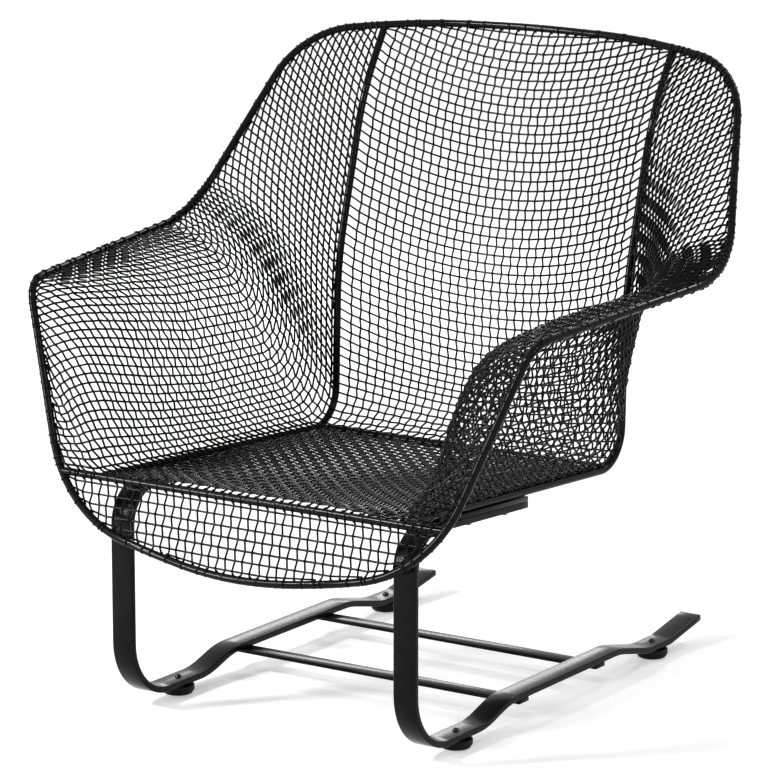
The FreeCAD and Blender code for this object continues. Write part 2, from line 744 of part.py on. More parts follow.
def ribbon(path, thickness, width, centre_x):
    """A flat strip along a path in the plane X = 0, bent from one bar."""
    left, right = [], []
    for edge in path.edges:
        marks = [edge.FirstParameter, (edge.FirstParameter + edge.LastParameter) / 2, edge.LastParameter]
        sides = [(edge.valueAt(m), edge.tangentAt(m).cross(OUT) * (thickness / 2)) for m in marks]
        for store, sign in ((left, 1), (right, -1)):
            a, b, c = [p + n * sign for p, n in sides]
            straight = not hasattr(edge.Curve, "Radius")
            store.append(Part.LineSegment(a, c).toShape() if straight else Part.Arc(a, b, c).toShape())
    starts = [store[0].valueAt(store[0].FirstParameter) for store in (left, right)]
    ends = [store[-1].valueAt(store[-1].LastParameter) for store in (left, right)]
    caps = [Part.LineSegment(a, b).toShape() for a, b in (starts, ends)]
    outline = Part.Wire(Part.sortEdges(left + right + caps)[0])
    face = Part.Face(outline)
    face.translate(Vector(centre_x - width / 2, 0, 0))
    return face.extrude(Vector(width, 0, 0))


STRIP_PATH = RoundedPath(
    [rod_line(STRIP_REAR_END_Y, STRIP_DROP), rod_line(LEG_Y, STRIP_DROP), Vector(0, LEG_Y, STRIP_FLOOR_Z),
     Vector(0, RAMP_FRONT_Y, STRIP_FLOOR_Z), Vector(0, BRIDGE_FRONT_Y, STRIP_FLOOR_Z + BRIDGE_RISE),
     Vector(0, BRIDGE_REAR_Y, STRIP_FLOOR_Z + BRIDGE_RISE), Vector(0, RAMP_REAR_Y, STRIP_FLOOR_Z),
     Vector(0, HEEL_Y, STRIP_FLOOR_Z), Vector(0, TAIL_END_Y, STRIP_FLOOR_Z + TAIL_RISE)],
    [TOP_BEND_RADIUS, FOOT_BEND_RADIUS] + [RAMP_BEND_RADIUS] * 4 + [TAIL_BEND_RADIUS])
STUD_X = STRIP_X - STUD_INSET
RAIL_TILT = SIDE_ROD_FRONT - SIDE_ROD_HEEL


def rail_square():
    """The direction square to the rails, pointing up."""
    return RAIL_TILT.cross(OUT).normalize()


def spring_strip():
    """The right spring strip with its stud and rivet holes."""
    strip = ribbon(STRIP_PATH, STRIP_THICKNESS, STRIP_WIDTH, STRIP_X)
    upright = [e for e in strip.Edges if abs(e.Length - STRIP_THICKNESS) < SAME_LENGTH]
    tail_corners = [e for e in upright if e.BoundBox.YMin > TAIL_END_Y - STRIP_THICKNESS]
    strip = strip.makeFillet(TAIL_CORNER_RADIUS, tail_corners)
    square = rail_square()
    for y in STUD_YS:
        radius = STUD_DIAMETER / 2 + STUD_HOLE_CLEARANCE
        strip = strip.cut(Part.makeCylinder(radius, STRIP_THICKNESS * 3, stud_top(y), square * -1))
    for y in (GLIDE_FRONT_Y, GLIDE_REAR_Y):
        radius = RIVET_DIAMETER / 2 + RIVET_CLEARANCE
        strip = strip.cut(Part.makeCylinder(radius, STRIP_FLOOR_Z * 2, Vector(STRIP_X, y, 0)))
    return strip


def seat_rail():
    """The right flat rail welded under the side rod."""
    middle = ROD_RADIUS + WELD_GAP + RAIL_THICKNESS / 2
    path = RoundedPath([rod_line(STRIP_REAR_END_Y, middle), rod_line(RAIL_FRONT_Y, middle)], [])
    return ribbon(path, RAIL_THICKNESS, STRIP_WIDTH, STRIP_X)


def stud_top(y):
    """The top of a stud, on the underside of the right rail."""
    return rod_line(y, RAIL_DROP) + Vector(STUD_X, 0, 0)


def stud(y):
    """A stud under the right rail, through the strip."""
    length = RAIL_CLEARANCE + STRIP_THICKNESS + WELD_GAP + NUT_HEIGHT + STUD_TAIL
    return Part.makeCylinder(STUD_DIAMETER / 2, length, stud_top(y), rail_square() * -1)


def nut(y):
    """A hexagon nut on a stud, under the strip."""
    square = rail_square()
    top = stud_top(y) - square * (RAIL_CLEARANCE + STRIP_THICKNESS + WELD_GAP)
    across = NUT_WIDTH / math.sqrt(3)
    forward = OUT.cross(square)
    corners = [top + OUT * (across * math.cos(a)) + forward * (across * math.sin(a))
               for a in [math.radians(60 * i) for i in range(6)]]
    prism = Part.Face(Part.makePolygon(corners + corners[:1])).extrude(square * -NUT_HEIGHT)
    bore = Part.makeCylinder(STUD_DIAMETER / 2 + WELD_GAP, NUT_HEIGHT, top, square * -1)
    return prism.cut(bore)


def both_sides(shapes):
    """Shapes of the right side and their mirror images, as one group."""
    return Part.Compound(shapes + [mirror(s) for s in shapes])


# Base: cross bars, glides and rivets

def bend_run(radius, rise, run):
    """How far a bend between a level and a sloping stretch reaches along the level one."""
    return radius * math.tan(math.atan2(abs(rise), abs(run)) / 2)


BRIDGE_FRONT_BEND = bend_run(RAMP_BEND_RADIUS, BRIDGE_RISE, BRIDGE_FRONT_Y - RAMP_FRONT_Y)
BRIDGE_REAR_BEND = bend_run(RAMP_BEND_RADIUS, BRIDGE_RISE, RAMP_REAR_Y - BRIDGE_REAR_Y)
FRONT_BAR_Y = BRIDGE_FRONT_Y + BRIDGE_FRONT_BEND + FRONT_BAR_INSET + BAR_WIDTH / 2
REAR_BAR_Y = BRIDGE_REAR_Y - BRIDGE_REAR_BEND - REAR_BAR_INSET - BAR_WIDTH / 2


def cross_bar(y):
    """A flat bar welded under both strips."""
    reach = STRIP_X + STRIP_WIDTH / 2
    corner = Vector(-reach, y - BAR_WIDTH / 2, GLIDE_HEIGHT + BRIDGE_RISE - BAR_THICKNESS)
    return Part.makeBox(2 * reach, BAR_WIDTH, BAR_THICKNESS, corner)


def glide(x, y):
    """A round glide: a domed sole, a cup with a raised lip and a boss under the strip."""
    radius = GLIDE_DIAMETER / 2
    sole = GLIDE_SOLE_DIAMETER / 2
    cup = radius - GLIDE_LIP_WIDTH
    boss = GLIDE_BOSS_DIAMETER / 2
    lip_top = GLIDE_HEIGHT - GLIDE_LIP_DROP
    floor = lip_top - GLIDE_CUP_DEPTH
    bore = RIVET_DIAMETER / 2 + RIVET_CLEARANCE
    bore_floor = GLIDE_HEIGHT - RIVET_DEPTH
    outline = Part.makePolygon([
        Vector(0, 0, 0), Vector(sole, 0, 0), Vector(radius - GLIDE_BELLY, 0, GLIDE_BELLY / 2),
        Vector(radius, 0, lip_top / 2), Vector(radius, 0, lip_top), Vector(cup, 0, lip_top),
        Vector(cup, 0, floor), Vector(boss, 0, floor), Vector(boss, 0, GLIDE_HEIGHT),
        Vector(bore, 0, GLIDE_HEIGHT), Vector(bore, 0, bore_floor), Vector(0, 0, bore_floor),
        Vector(0, 0, 0)])
    solid = Part.Face(outline).revolve(Vector(0, 0, 0), UP, 360)
    solid.translate(Vector(x, y, 0))
    return solid


def rivet(x, y):
    """A round-head rivet through the strip into the glide."""
    seat = GLIDE_HEIGHT + STRIP_THICKNESS + RIVET_CLEARANCE
    shank_foot = GLIDE_HEIGHT - RIVET_DEPTH + RIVET_CLEARANCE
    head = RIVET_HEAD_DIAMETER / 2
    shank = RIVET_DIAMETER / 2
    crown = Vector(0, 0, seat + RIVET_HEAD_HEIGHT)
    dome_radius = (head ** 2 + RIVET_HEAD_HEIGHT ** 2) / (2 * RIVET_HEAD_HEIGHT)
    lean = math.asin(min(1.0, head / dome_radius)) / 2
    shoulder = Vector(dome_radius * math.sin(lean), 0, crown.z - dome_radius * (1 - math.cos(lean)))
    dome = Part.Arc(Vector(head, 0, seat), shoulder, crown).toShape()
    outline = Part.makePolygon([crown, Vector(0, 0, shank_foot), Vector(shank, 0, shank_foot),
                                Vector(shank, 0, seat), Vector(head, 0, seat)])
    solid = Part.Face(Part.Wire([dome] + outline.Edges)).revolve(Vector(0, 0, 0), UP, 360)
    solid.translate(Vector(x, y, 0))
    return solid


def base_nodes():
    """Everything that stands on the floor."""
    strip = spring_strip()
    nodes = {"spring_strip_right": strip, "spring_strip_left": mirror(strip),
             "front_cross_bar": cross_bar(FRONT_BAR_Y), "rear_cross_bar": cross_bar(REAR_BAR_Y)}
    for end, y in (("front", GLIDE_FRONT_Y), ("rear", GLIDE_REAR_Y)):
        nodes["glide_" + end + "_right"] = glide(STRIP_X, y)
        nodes["glide_" + end + "_left"] = glide(-STRIP_X, y)
    nodes["glide_rivets"] = both_sides([rivet(STRIP_X, y) for y in (GLIDE_FRONT_Y, GLIDE_REAR_Y)])
    return nodes


def frame_nodes():
    """The rods and rails of the seat, with the studs and nuts that fix it to the strips."""
    side = side_rod()
    rail = seat_rail()
    nodes = rim_nodes()
    nodes["side_rod_right"] = side
    nodes["side_rod_left"] = mirror(side)
    nodes["front_cross_rod"] = cross_rod(FRONT_ROD_END, HALF_RIM, RIM_FRONT_JOINT)
    nodes["rear_cross_rod"] = cross_rod(REAR_ROD_END, SIDE_ROD, REAR_ROD_AT)
    nodes["seat_rail_right"] = rail
    nodes["seat_rail_left"] = mirror(rail)
    nodes["rail_studs"] = both_sides([stud(y) for y in STUD_YS])
    nodes["rail_nuts"] = both_sides([nut(y) for y in STUD_YS])
    return nodes


def main():
    """Builds every node and writes it."""
    os.makedirs("parts", exist_ok=True)
    nodes = {}
    for group in (base_nodes, frame_nodes, back_nodes, seat_nodes, lip_nodes, side_nodes):
        nodes.update(group())
    for name, shape in nodes.items():
        shape.exportStep("parts/" + name + ".step")
        state = "valid" if shape.isValid() else "INVALID"
        print(name, len(shape.Solids), "solids", round(shape.Volume), "mm3", state)


main()
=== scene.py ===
import logging
import math
from dataclasses import dataclass, field
from enum import Enum
from typing import Any, Callable, Optional, Sequence, Union

import bmesh
import bpy
from bmesh.types import BMesh, BMFace, BMVert
from bpy.types import ID, Material, Node, NodeSocket, NodeTree, Object
from mathutils import Matrix, Vector
from mathutils.kdtree import KDTree


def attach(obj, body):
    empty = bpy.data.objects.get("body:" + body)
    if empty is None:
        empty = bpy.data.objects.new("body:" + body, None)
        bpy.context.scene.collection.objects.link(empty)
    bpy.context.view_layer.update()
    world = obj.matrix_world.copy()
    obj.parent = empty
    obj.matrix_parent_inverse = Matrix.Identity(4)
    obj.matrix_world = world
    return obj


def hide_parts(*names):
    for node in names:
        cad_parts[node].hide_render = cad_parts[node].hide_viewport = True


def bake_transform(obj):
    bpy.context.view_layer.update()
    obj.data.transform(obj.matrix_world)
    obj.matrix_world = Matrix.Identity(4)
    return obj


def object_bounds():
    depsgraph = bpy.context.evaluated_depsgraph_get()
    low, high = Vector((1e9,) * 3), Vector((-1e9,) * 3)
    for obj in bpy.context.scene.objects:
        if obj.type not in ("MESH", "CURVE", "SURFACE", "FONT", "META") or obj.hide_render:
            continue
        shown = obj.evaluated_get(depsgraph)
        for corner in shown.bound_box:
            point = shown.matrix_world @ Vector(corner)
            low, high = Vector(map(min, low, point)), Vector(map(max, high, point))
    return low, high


# Looks of a spring rocking chair: a bucket seat of woven wire in a rod frame, on two bent spring strips.
# Shapes are worked out in millimetres, in the frame of the loaded solids, and made in metres.

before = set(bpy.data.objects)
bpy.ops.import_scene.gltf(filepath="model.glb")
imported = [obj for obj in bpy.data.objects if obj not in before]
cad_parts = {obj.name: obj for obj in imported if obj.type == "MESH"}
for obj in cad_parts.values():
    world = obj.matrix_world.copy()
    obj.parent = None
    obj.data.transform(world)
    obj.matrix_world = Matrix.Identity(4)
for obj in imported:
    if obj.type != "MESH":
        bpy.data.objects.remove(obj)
SOLID_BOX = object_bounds()
LOG = logging.getLogger("spring_chair")
METRE = 0.001
OUT = Vector((1.0, 0.0, 0.0))
UP = Vector((0.0, 0.0, 1.0))
BLACK = (0.0025, 0.0025, 0.0026)
NOISE_MIDDLE = 0.5
# How often a search halves its range
HALVINGS = 40
# Times t (1 - t)^3, this is 1 at its highest
SWELL_PEAK = 256 / 27
# Corners of a piece, and of a turned one, are merged when they are nearer than this
MERGE = 1e-4
MERGE_TURNED = 1e-3
Line = list[Vector]
Triple = tuple[float, float, float]
# A wire's place, and where it starts and ends
Run = tuple[float, float, float]
# A rib's places along the side rod and along the rim, and its slopes there
Station = tuple[float, float, Triple, Triple]


class Side(Enum):
    """The two sides of the chair, as seen from the front."""

    LEFT = -1
    RIGHT = 1


class Strand(Enum):
    """The two directions of wire in a woven panel."""

    WARP = 1
    WEFT = -1


# Finishes

def math_operator(operation: str, swapped: bool = False) -> Callable[["Value", "Number"], "Value"]:
    """Makes an operator of values that adds one Math node.

    Args:
        operation: The node's operation.
        swapped: Whether the value itself comes second.

    Returns:
        The operator.
    """
    def operator(value: "Value", other: "Number") -> "Value":
        """The node's result."""
        first, second = (other, value) if swapped else (value, other)
        made = value.graph.node("ShaderNodeMath", {0: first, 1: second}, operation=operation)
        return Value(value.graph, made.outputs[0])
    return operator


class Value:
    """A number socket that turns Python sums into Math nodes."""

    __add__ = math_operator("ADD")
    __radd__ = math_operator("ADD", swapped=True)
    __sub__ = math_operator("SUBTRACT")
    __rsub__ = math_operator("SUBTRACT", swapped=True)
    __mul__ = math_operator("MULTIPLY")
    __rmul__ = math_operator("MULTIPLY", swapped=True)
    most = math_operator("MAXIMUM")

    def __init__(self, graph: "Graph", socket: NodeSocket) -> None:
        """Wraps a socket of a graph."""
        self.graph = graph
        self.socket = socket


Number = Union[float, Value]


class Graph:
    """The node tree of a material or a world."""

    def __init__(self, tree: NodeTree) -> None:
        """Empties a node tree for new nodes."""
        self.tree = tree
        self.tree.nodes.clear()

    def node(self, kind: str, sockets: Optional[dict[Union[str, int], Any]] = None,
             **settings: Any) -> Node:
        """Adds a node.

        Args:
            kind: The node's type.
            sockets: A number, colour, socket or Value for each named input.
            settings: Its own settings, with a ramp's stops as stops.

        Returns:
            The new node.
        """
        made = self.tree.nodes.new(kind)
        for key, value in settings.items():
            if key == "stops":
                for stop, (place, colour) in zip(made.color_ramp.elements, value):
                    stop.position = place
                    stop.color = (*colour, 1.0)
            else:
                setattr(made, key, value)
        for key, value in (sockets or {}).items():
            if isinstance(value, Value):
                self.tree.links.new(value.socket, made.inputs[key])
            elif isinstance(value, NodeSocket):
                self.tree.links.new(value, made.inputs[key])
            else:
                made.inputs[key].default_value = value
        return made

    def value(self, node: Node, output: Union[str, int] = 0) -> Value:
        """A node's output as a value."""
        return Value(self, node.outputs[output])


@dataclass(frozen=True)
class Finish:
    """A black finish with mottled gloss and a fine grain, and a trace of dust in it."""

    name: str
    roughness: float
    mottle: float
    sheen: float
    grain_size: float
    grain_depth: float
    colour: Triple = BLACK
    dust: Triple = (0.008, 0.008, 0.007)
    coat: float = 0.0
    coat_roughness: float = 0.12
    bump: float = 0.35
    patch_size: float = 0.06
    dust_share: float = 0.25
    dust_from: float = 0.42
    dust_full: float = 0.78

    def material(self) -> Material:
        """Makes the material.

        Returns:
            The finished material.
        """
        made = bpy.data.materials.new(self.name)
        made.use_nodes = True
        graph = Graph(made.node_tree)
        place = graph.node("ShaderNodeTexCoord").outputs["Object"]
        patches, grain = [
            graph.value(graph.node("ShaderNodeTexNoise", {
                "Vector": place, "Scale": 1 / size, "Detail": detail, "Roughness": rough}))
            for size, detail, rough in ((self.patch_size, 4.0, 0.6), (self.grain_size, 2.0, 0.5))]
        stops = ((self.dust_from, (0.0, 0.0, 0.0)), (self.dust_full, (1.0, 1.0, 1.0)))
        ramp = graph.node("ShaderNodeValToRGB", {"Fac": patches}, stops=stops)
        dusty = graph.value(ramp) * self.dust_share
        tint = graph.node("ShaderNodeMix", {
            "Factor": dusty, "A": (*self.colour, 1.0), "B": (*self.dust, 1.0)}, data_type="RGBA")
        patched = self.roughness + (patches - NOISE_MIDDLE) * self.mottle
        gloss = patched + (grain - NOISE_MIDDLE) * (self.mottle / 2)
        bump = graph.node("ShaderNodeBump", {
            "Strength": self.bump, "Distance": self.grain_depth, "Height": grain})
        shader = graph.node("ShaderNodeBsdfPrincipled", {
            "Base Color": tint.outputs["Result"], "Roughness": gloss, "Normal": bump.outputs["Normal"],
            "Specular IOR Level": self.sheen, "Coat Weight": self.coat,
            "Coat Roughness": self.coat_roughness})
        graph.node("ShaderNodeOutputMaterial", {"Surface": shader.outputs["BSDF"]})
        return made


WIRE_PAINT = Finish("wire_paint", roughness=0.12, mottle=0.06, sheen=0.08,
                    grain_size=0.0012, grain_depth=0.00003)
ROD_PAINT = Finish("rod_paint", roughness=0.11, mottle=0.06, sheen=0.09,
                   grain_size=0.002, grain_depth=0.00002)
STRIP_PAINT = Finish("strip_paint", roughness=0.2, mottle=0.12, sheen=0.08,
                     grain_size=0.003, grain_depth=0.00004, dust=(0.012, 0.011, 0.011))
FIXING_PAINT = Finish("fixing_paint", roughness=0.18, mottle=0.1, sheen=0.3,
                      grain_size=0.001, grain_depth=0.00005, dust=(0.02, 0.02, 0.019), coat=0.1)
GLIDE_RUBBER = Finish("glide_rubber", roughness=0.5, mottle=0.2, sheen=0.1,
                      grain_size=0.0016, grain_depth=0.0002,
                      colour=(0.005, 0.005, 0.005), dust=(0.016, 0.016, 0.015))


# Paths of bent rod and strip

@dataclass(frozen=True)
class Stretch:
    """One straight run or one bend of a path."""

    start: Vector
    heading: Vector
    length: float
    centre: Optional[Vector] = None
    axis: Optional[Vector] = None

    def at(self, distance: float) -> tuple[Vector, Vector]:
        """The place and heading at a distance along the stretch.

        Args:
            distance: The distance from its start.

        Returns:
            The place and the unit heading.
        """
        if self.centre is None:
            return self.start + self.heading * distance, self.heading
        arm = self.start - self.centre
        turn = Matrix.Rotation(distance / arm.length, 3, self.axis)
        return self.centre + turn @ arm, turn @ self.heading


class BentPath:
    """A polyline whose inner corners are rounded by tangent arcs."""

    def __init__(self, corners: Sequence[Vector], radii: Sequence[float]) -> None:
        """Rounds each inner corner with its radius."""
        self.stretches: list[Stretch] = []
        self.bends: list[float] = []
        start = corners[0]
        travelled = 0.0
        for before, corner, after, radius in zip(corners, corners[1:], corners[2:], radii):
            back = (before - corner).normalized()
            ahead = (after - corner).normalized()
            half = back.angle(ahead) / 2
            cut = radius / math.tan(half)
            first = corner + back * cut
            centre = corner + (back + ahead).normalized() * (radius / math.sin(half))
            arc = radius * (math.pi - 2 * half)
            straight = (first - start).length
            self.stretches.append(Stretch(start, -back, straight))
            self.stretches.append(Stretch(first, -back, arc, centre, (-back).cross(ahead).normalized()))
            travelled += straight + arc
            self.bends.append(travelled - arc / 2)
            start = corner + ahead * cut
        last = corners[-1] - start
        self.stretches.append(Stretch(start, last.normalized(), last.length))
        self.length = travelled + self.stretches[-1].length

    def at(self, distance: float) -> tuple[Vector, Vector]:
        """The place and heading at a distance, carried straight on past both ends.

        Args:
            distance: The distance along the path.

        Returns:
            The place and the unit heading.
        """
        for stretch in self.stretches[:-1]:
            if distance <= stretch.length:
                return stretch.at(distance)
            distance -= stretch.length
        return self.stretches[-1].at(distance)

    def point(self, distance: float) -> Vector:
        """The place at a distance along the path."""
        return self.at(distance)[0]

    def find(self, measure: Callable[[Vector], float], value: float, low: float, high: float) -> float:
        """Finds where a measure that falls along the path reaches a value.

        Args:
            measure: The measure of a point.
            value: The value to reach.
            low: The first distance to look at.
            high: The last distance to look at.

        Returns:
            The distance along the path.
        """
        for _ in range(HALVINGS):
            middle = (low + high) / 2
            if measure(self.point(middle)) > value:
                low = middle
            else:
                high = middle
        return (low + high) / 2


def eased(share: float) -> float:
    """A share held between 0 and 1 that starts and stops gently."""
    share = max(0.0, min(1.0, share))
    return share * share * (3 - 2 * share)


def other_side(point: Vector) -> Vector:
    """The same point on the other side of the chair."""
    return Vector((-point.x, point.y, point.z))


def spaced(low: float, high: float, pitch: float) -> list[float]:
    """Places between two limits, a pitch apart and even about the middle."""
    count = max(1, int((high - low) / pitch))
    first = (low + high) / 2 - (count - 1) / 2 * pitch
    return [first + i * pitch for i in range(count)]


@dataclass
class SeatShape:
    """The lines of the seat's rods and the surfaces that the mesh follows, in millimetres."""

    rod_radius: float = 4.75
    side_x: float = 212.0
    front_rod_height: float = 298.0
    rear_rod_y: float = 122.0
    rim_corners: tuple[Triple, ...] = (
        (0, 302, 781.5), (158, 292, 779), (321, 249, 761.5), (393, 98, 536),
        (355, -281, 512), (258, -342, 248), (131, -345, 220), (0, -358, 202))
    rim_radii: tuple[float, ...] = (900, 630, 118, 120, 38, 170, 480, 530)
    side_corners: tuple[tuple[float, float], ...] = ((227, 692), (169, 482), (162, 270))
    side_radii: tuple[float, ...] = (330, 420, 48)
    back_dish: float = 30.0
    back_sag: float = 42.0
    back_top_blend: float = 220.0
    back_foot_blend: float = 160.0
    seat_dish: float = 16.0
    seat_roll: float = 9.0
    roll_flat: float = 16.0
    roll_reach: float = 90.0
    least_drop: float = 1.0
    side_first_share: float = 0.015
    side_last_share: float = 0.97
    rib_steps: int = 40
    swell_share: float = 0.08
    swell_from: float = 0.12
    swell_full: float = 0.32
    swell_fade: float = 0.34
    swell_to: float = 0.54
    swell_way: Vector = field(default_factory=lambda: Vector((0.6, 0.8, 0.0)))
    sitter: Vector = field(default_factory=lambda: Vector((0.0, -150.0, 480.0)))
    side_form: tuple[Station, ...] = (
        (0.0, 0.0, (0.32, -0.49, 0.67), (0.62, 0.39, 0.8)),
        (0.12, 0.108, (0.31, -0.52, 0.73), (0.86, 0.35, 0.66)),
        (0.25, 0.215, (0.29, -0.53, 0.8), (1.12, 0.29, 0.48)),
        (0.38, 0.333, (0.31, -0.58, 0.87), (1.33, 0.26, 0.28)),
        (0.47, 0.383, (0.26, -0.77, 0.91), (1.54, 0.37, 0.17)),
        (0.56, 0.457, (0.2, -1.1, 0.88), (1.76, 0.46, 0.07)),
        (0.7, 0.59, (0.13, -1.26, 0.88), (1.85, 0.35, 0.0)),
        (0.82, 0.708, (0.09, -1.09, 0.95), (1.62, 0.06, 0.02)),
        (0.92, 0.791, (0.18, -0.74, 0.93), (1.06, -0.21, 0.38)),
        (1.0, 0.872, (0.41, -0.41, 0.8), (0.34, -0.35, 0.93)))

    def __post_init__(self) -> None:
        """Lays out the rods."""
        corners = [Vector(c) for c in self.rim_corners]
        self.rim = BentPath([other_side(corners[1])] + corners + [other_side(corners[-2])], self.rim_radii)
        bends = self.rim.bends
        self.rim_start = self.rim.find(lambda p: -p.x, 0.0, 0.0, bends[2])
        self.rim_top = self.rim.find(lambda p: -p.x, -self.side_x, 0.0, bends[2])
        self.rim_front = self.rim.find(lambda p: p.z, self.front_rod_height, bends[4], self.rim.length)
        self.rim_end = self.rim.find(lambda p: p.x, 0.0, self.rim_front, self.rim.length)
        self.front_end = self.rim.point(self.rim_front)
        front = Vector((self.side_x, self.front_end.y, self.front_end.z))
        bent = [Vector((self.side_x, y, z)) for y, z in self.side_corners]
        self.side = BentPath([self.rim.point(self.rim_top)] + bent + [front], self.side_radii)
        self.rear_at = self.side.find(lambda p: p.y, self.rear_rod_y, self.side.bends[2], self.side.length)
        self.rear_end = self.side.point(self.rear_at)
        self.heel = bent[-1]
        self.side_front = front
        self._tops: dict[float, tuple[float, float]] = {}
        self._ribs: dict[float, Line] = {}
        self.foot_length = self.side.length + self.front_end.x - self.side_x

    def back_top(self, u: float) -> tuple[float, float]:
        """The rim above a column of the back, from the side rod's top.

        Args:
            u: The column's place, from -1 at the left side rod to 1 at the right one.

        Returns:
            The distance along the side rod's line, and the depth behind it.
        """
        key = abs(u)
        if key not in self._tops:
            at = self.rim.find(lambda p: -p.x, -key * self.side_x, self.rim_start, self.rim_top)
            top, heading = self.side.at(0.0)
            rise = self.rim.point(at) - top
            self._tops[key] = (rise.dot(heading), rise.dot(OUT.cross(heading)))
        return self._tops[key]

    def back_point(self, u: float, v: float) -> Vector:
        """A point of the back.

        Args:
            u: The place across, from -1 to 1.
            v: The distance down the side rods of the row through it.

        Returns:
            The point.
        """
        top, top_depth = self.back_top(u)
        fade = eased((self.rear_at - v) / self.back_foot_blend)
        distance = v + self.back_sag * (1 - u * u) * fade
        base, heading = self.side.at(distance)
        blend = eased((distance - top) / self.back_top_blend)
        dish = self.back_dish * (1 - u * u) * fade
        depth = top_depth + (dish - top_depth) * blend
        return Vector((u * self.side_x, base.y, base.z)) + OUT.cross(heading) * depth

    def column_top(self, u: float) -> float:
        """The row at which a column of the back meets the rim."""
        return self.back_top(u)[0] - self.back_sag * (1 - u * u)

    def row_reach(self, v: float) -> float:
        """How far across a row of the back goes before it meets the rim or the side rods."""
        low, high = 0.0, 1.0
        if v > 0:
            return high
        for _ in range(HALVINGS):
            middle = (low + high) / 2
            if self.column_top(middle) < v:
                low = middle
            else:
                high = middle
        return low

    def seat_point(self, u: float, v: float) -> Vector:
        """A point of the seat, u across from -1 to 1 and v forward from the rear rod to the front one."""
        base = self.rear_end.lerp(self.front_end, v)
        dip = self.seat_dish * (1 - u * u) ** 2 * 4 * v * (1 - v)
        behind = (1 - v) * (self.rear_end - self.front_end).length - self.roll_flat
        roll = self.seat_roll * (1 - u ** 4) * eased(1 - behind / self.roll_reach)
        return Vector((u * self.side_x, base.y, base.z - dip + roll))

    def lip_foot(self, x: float) -> Vector:
        """The rim under a place on the front cross rod."""
        at = self.rim.find(lambda p: p.x, abs(x), self.rim_front, self.rim_end)
        foot = self.rim.point(at)
        return Vector((x, foot.y, foot.z))

    def lip_point(self, x: float, fall: float) -> Vector:
        """A point of the lip, at a fall below the front cross rod."""
        foot = self.lip_foot(x)
        top = Vector((x, self.front_end.y, self.front_end.z))
        drop = top.z - foot.z
        return top.lerp(foot, fall / drop if drop > self.least_drop else 0.0)

    def _form(self, share: float) -> tuple[float, Vector, Vector]:
        """Where a rib of the side meets the rim, and its slopes at both ends, between two stations.

        Args:
            share: The rib's place along the side rod, above 1 on the front cross rod.

        Returns:
            Its place along the rim as a share, and the slopes at the rod and at the rim.
        """
        for (s0, rim0, wall0, flare0), (s1, rim1, wall1, flare1) in zip(self.side_form, self.side_form[1:]):
            if share <= s1:
                part = (share - s0) / (s1 - s0)
                walls = Vector(wall0).lerp(Vector(wall1), part)
                return rim0 + (rim1 - rim0) * part, walls, Vector(flare0).lerp(Vector(flare1), part)
        last, rim, wall, flare = self.side_form[-1]
        part = (share - last) / (self.foot_length / self.side.length - last)
        return rim + (1 - rim) * part, Vector(wall), Vector(flare)

    def _even(self, samples: Line) -> Line:
        """A sampled line with its points moved to even spacing."""
        runs = [(b - a).length for a, b in zip(samples, samples[1:])]
        total = sum(runs)
        even = [samples[0]]
        passed = 0.0
        for a, b, run in zip(samples, samples[1:], runs):
            while len(even) < self.rib_steps and passed + run >= total * len(even) / self.rib_steps:
                even.append(a.lerp(b, (total * len(even) / self.rib_steps - passed) / run))
            passed += run
        return even + [samples[-1]]

    def _swell(self, share: float) -> Vector:
        """How far a rib swells out behind the side rod, as a share of its chord."""
        rise = eased((share - self.swell_from) / (self.swell_full - self.swell_from))
        fall = eased((self.swell_to - share) / (self.swell_to - self.swell_fade))
        return self.swell_way * (self.swell_share * rise * fall)

    def rib(self, share: float) -> Line:
        """One rib of the right side, from the side rod or the front cross rod to the rim.

        Args:
            share: Its place along the side rod, above 1 on the front cross rod.

        Returns:
            Evenly spaced points along it.
        """
        if share not in self._ribs:
            rim_share, wall, flare = self._form(share)
            distance = share * self.side.length
            on_rod = min(distance, self.side.length)
            foot = self.side.point(on_rod) + OUT * (distance - on_rod)
            head = self.rim.point(self.rim_top + (self.rim_front - self.rim_top) * rim_share)
            chord = (head - foot).length
            swell = self._swell(share) * (chord * SWELL_PEAK)
            samples = []
            for i in range(self.rib_steps + 1):
                t = i / self.rib_steps
                square, cube = t ** 2, t ** 3
                samples.append(foot * (2 * cube - 3 * square + 1) + wall * (chord * (cube - 2 * square + t))
                               + head * (3 * square - 2 * cube) + flare * (chord * (cube - square))
                               + swell * (t * (1 - t) ** 3))
            self._ribs[share] = self._even(samples)
        return self._ribs[share]

    def rib_length(self, share: float) -> float:
        """The length of a rib."""
        line = self.rib(share)
        return sum((b - a).length for a, b in zip(line, line[1:]))

    def side_point(self, share: float, distance: float) -> Vector:
        """A point of the right side, at a distance from the side rod along one rib."""
        line = self.rib(share)
        for a, b in zip(line, line[1:]):
            run = (b - a).length
            if distance <= run:
                return a.lerp(b, distance / run)
            distance -= run
        return line[-1] + (line[-1] - line[-2]).normalized() * distance

    def under_rod(self, y: float, drop: float) -> Vector:
        """A point under the straight run of the side rod, a square distance below its axis, at X = 0."""
        run = self.side_front - self.heel
        slope = run.z / run.y
        height = self.heel.z + (y - self.heel.y) * slope
        return Vector((0.0, y, height - drop * math.sqrt(1 + slope * slope)))


# Woven wire

@dataclass(frozen=True)
class RodSpot:
    """A place on a rod's axis, and the side on which the mesh lies over it, if it is always the same one."""

    place: Vector
    heading: Vector
    cover: Optional[Vector]


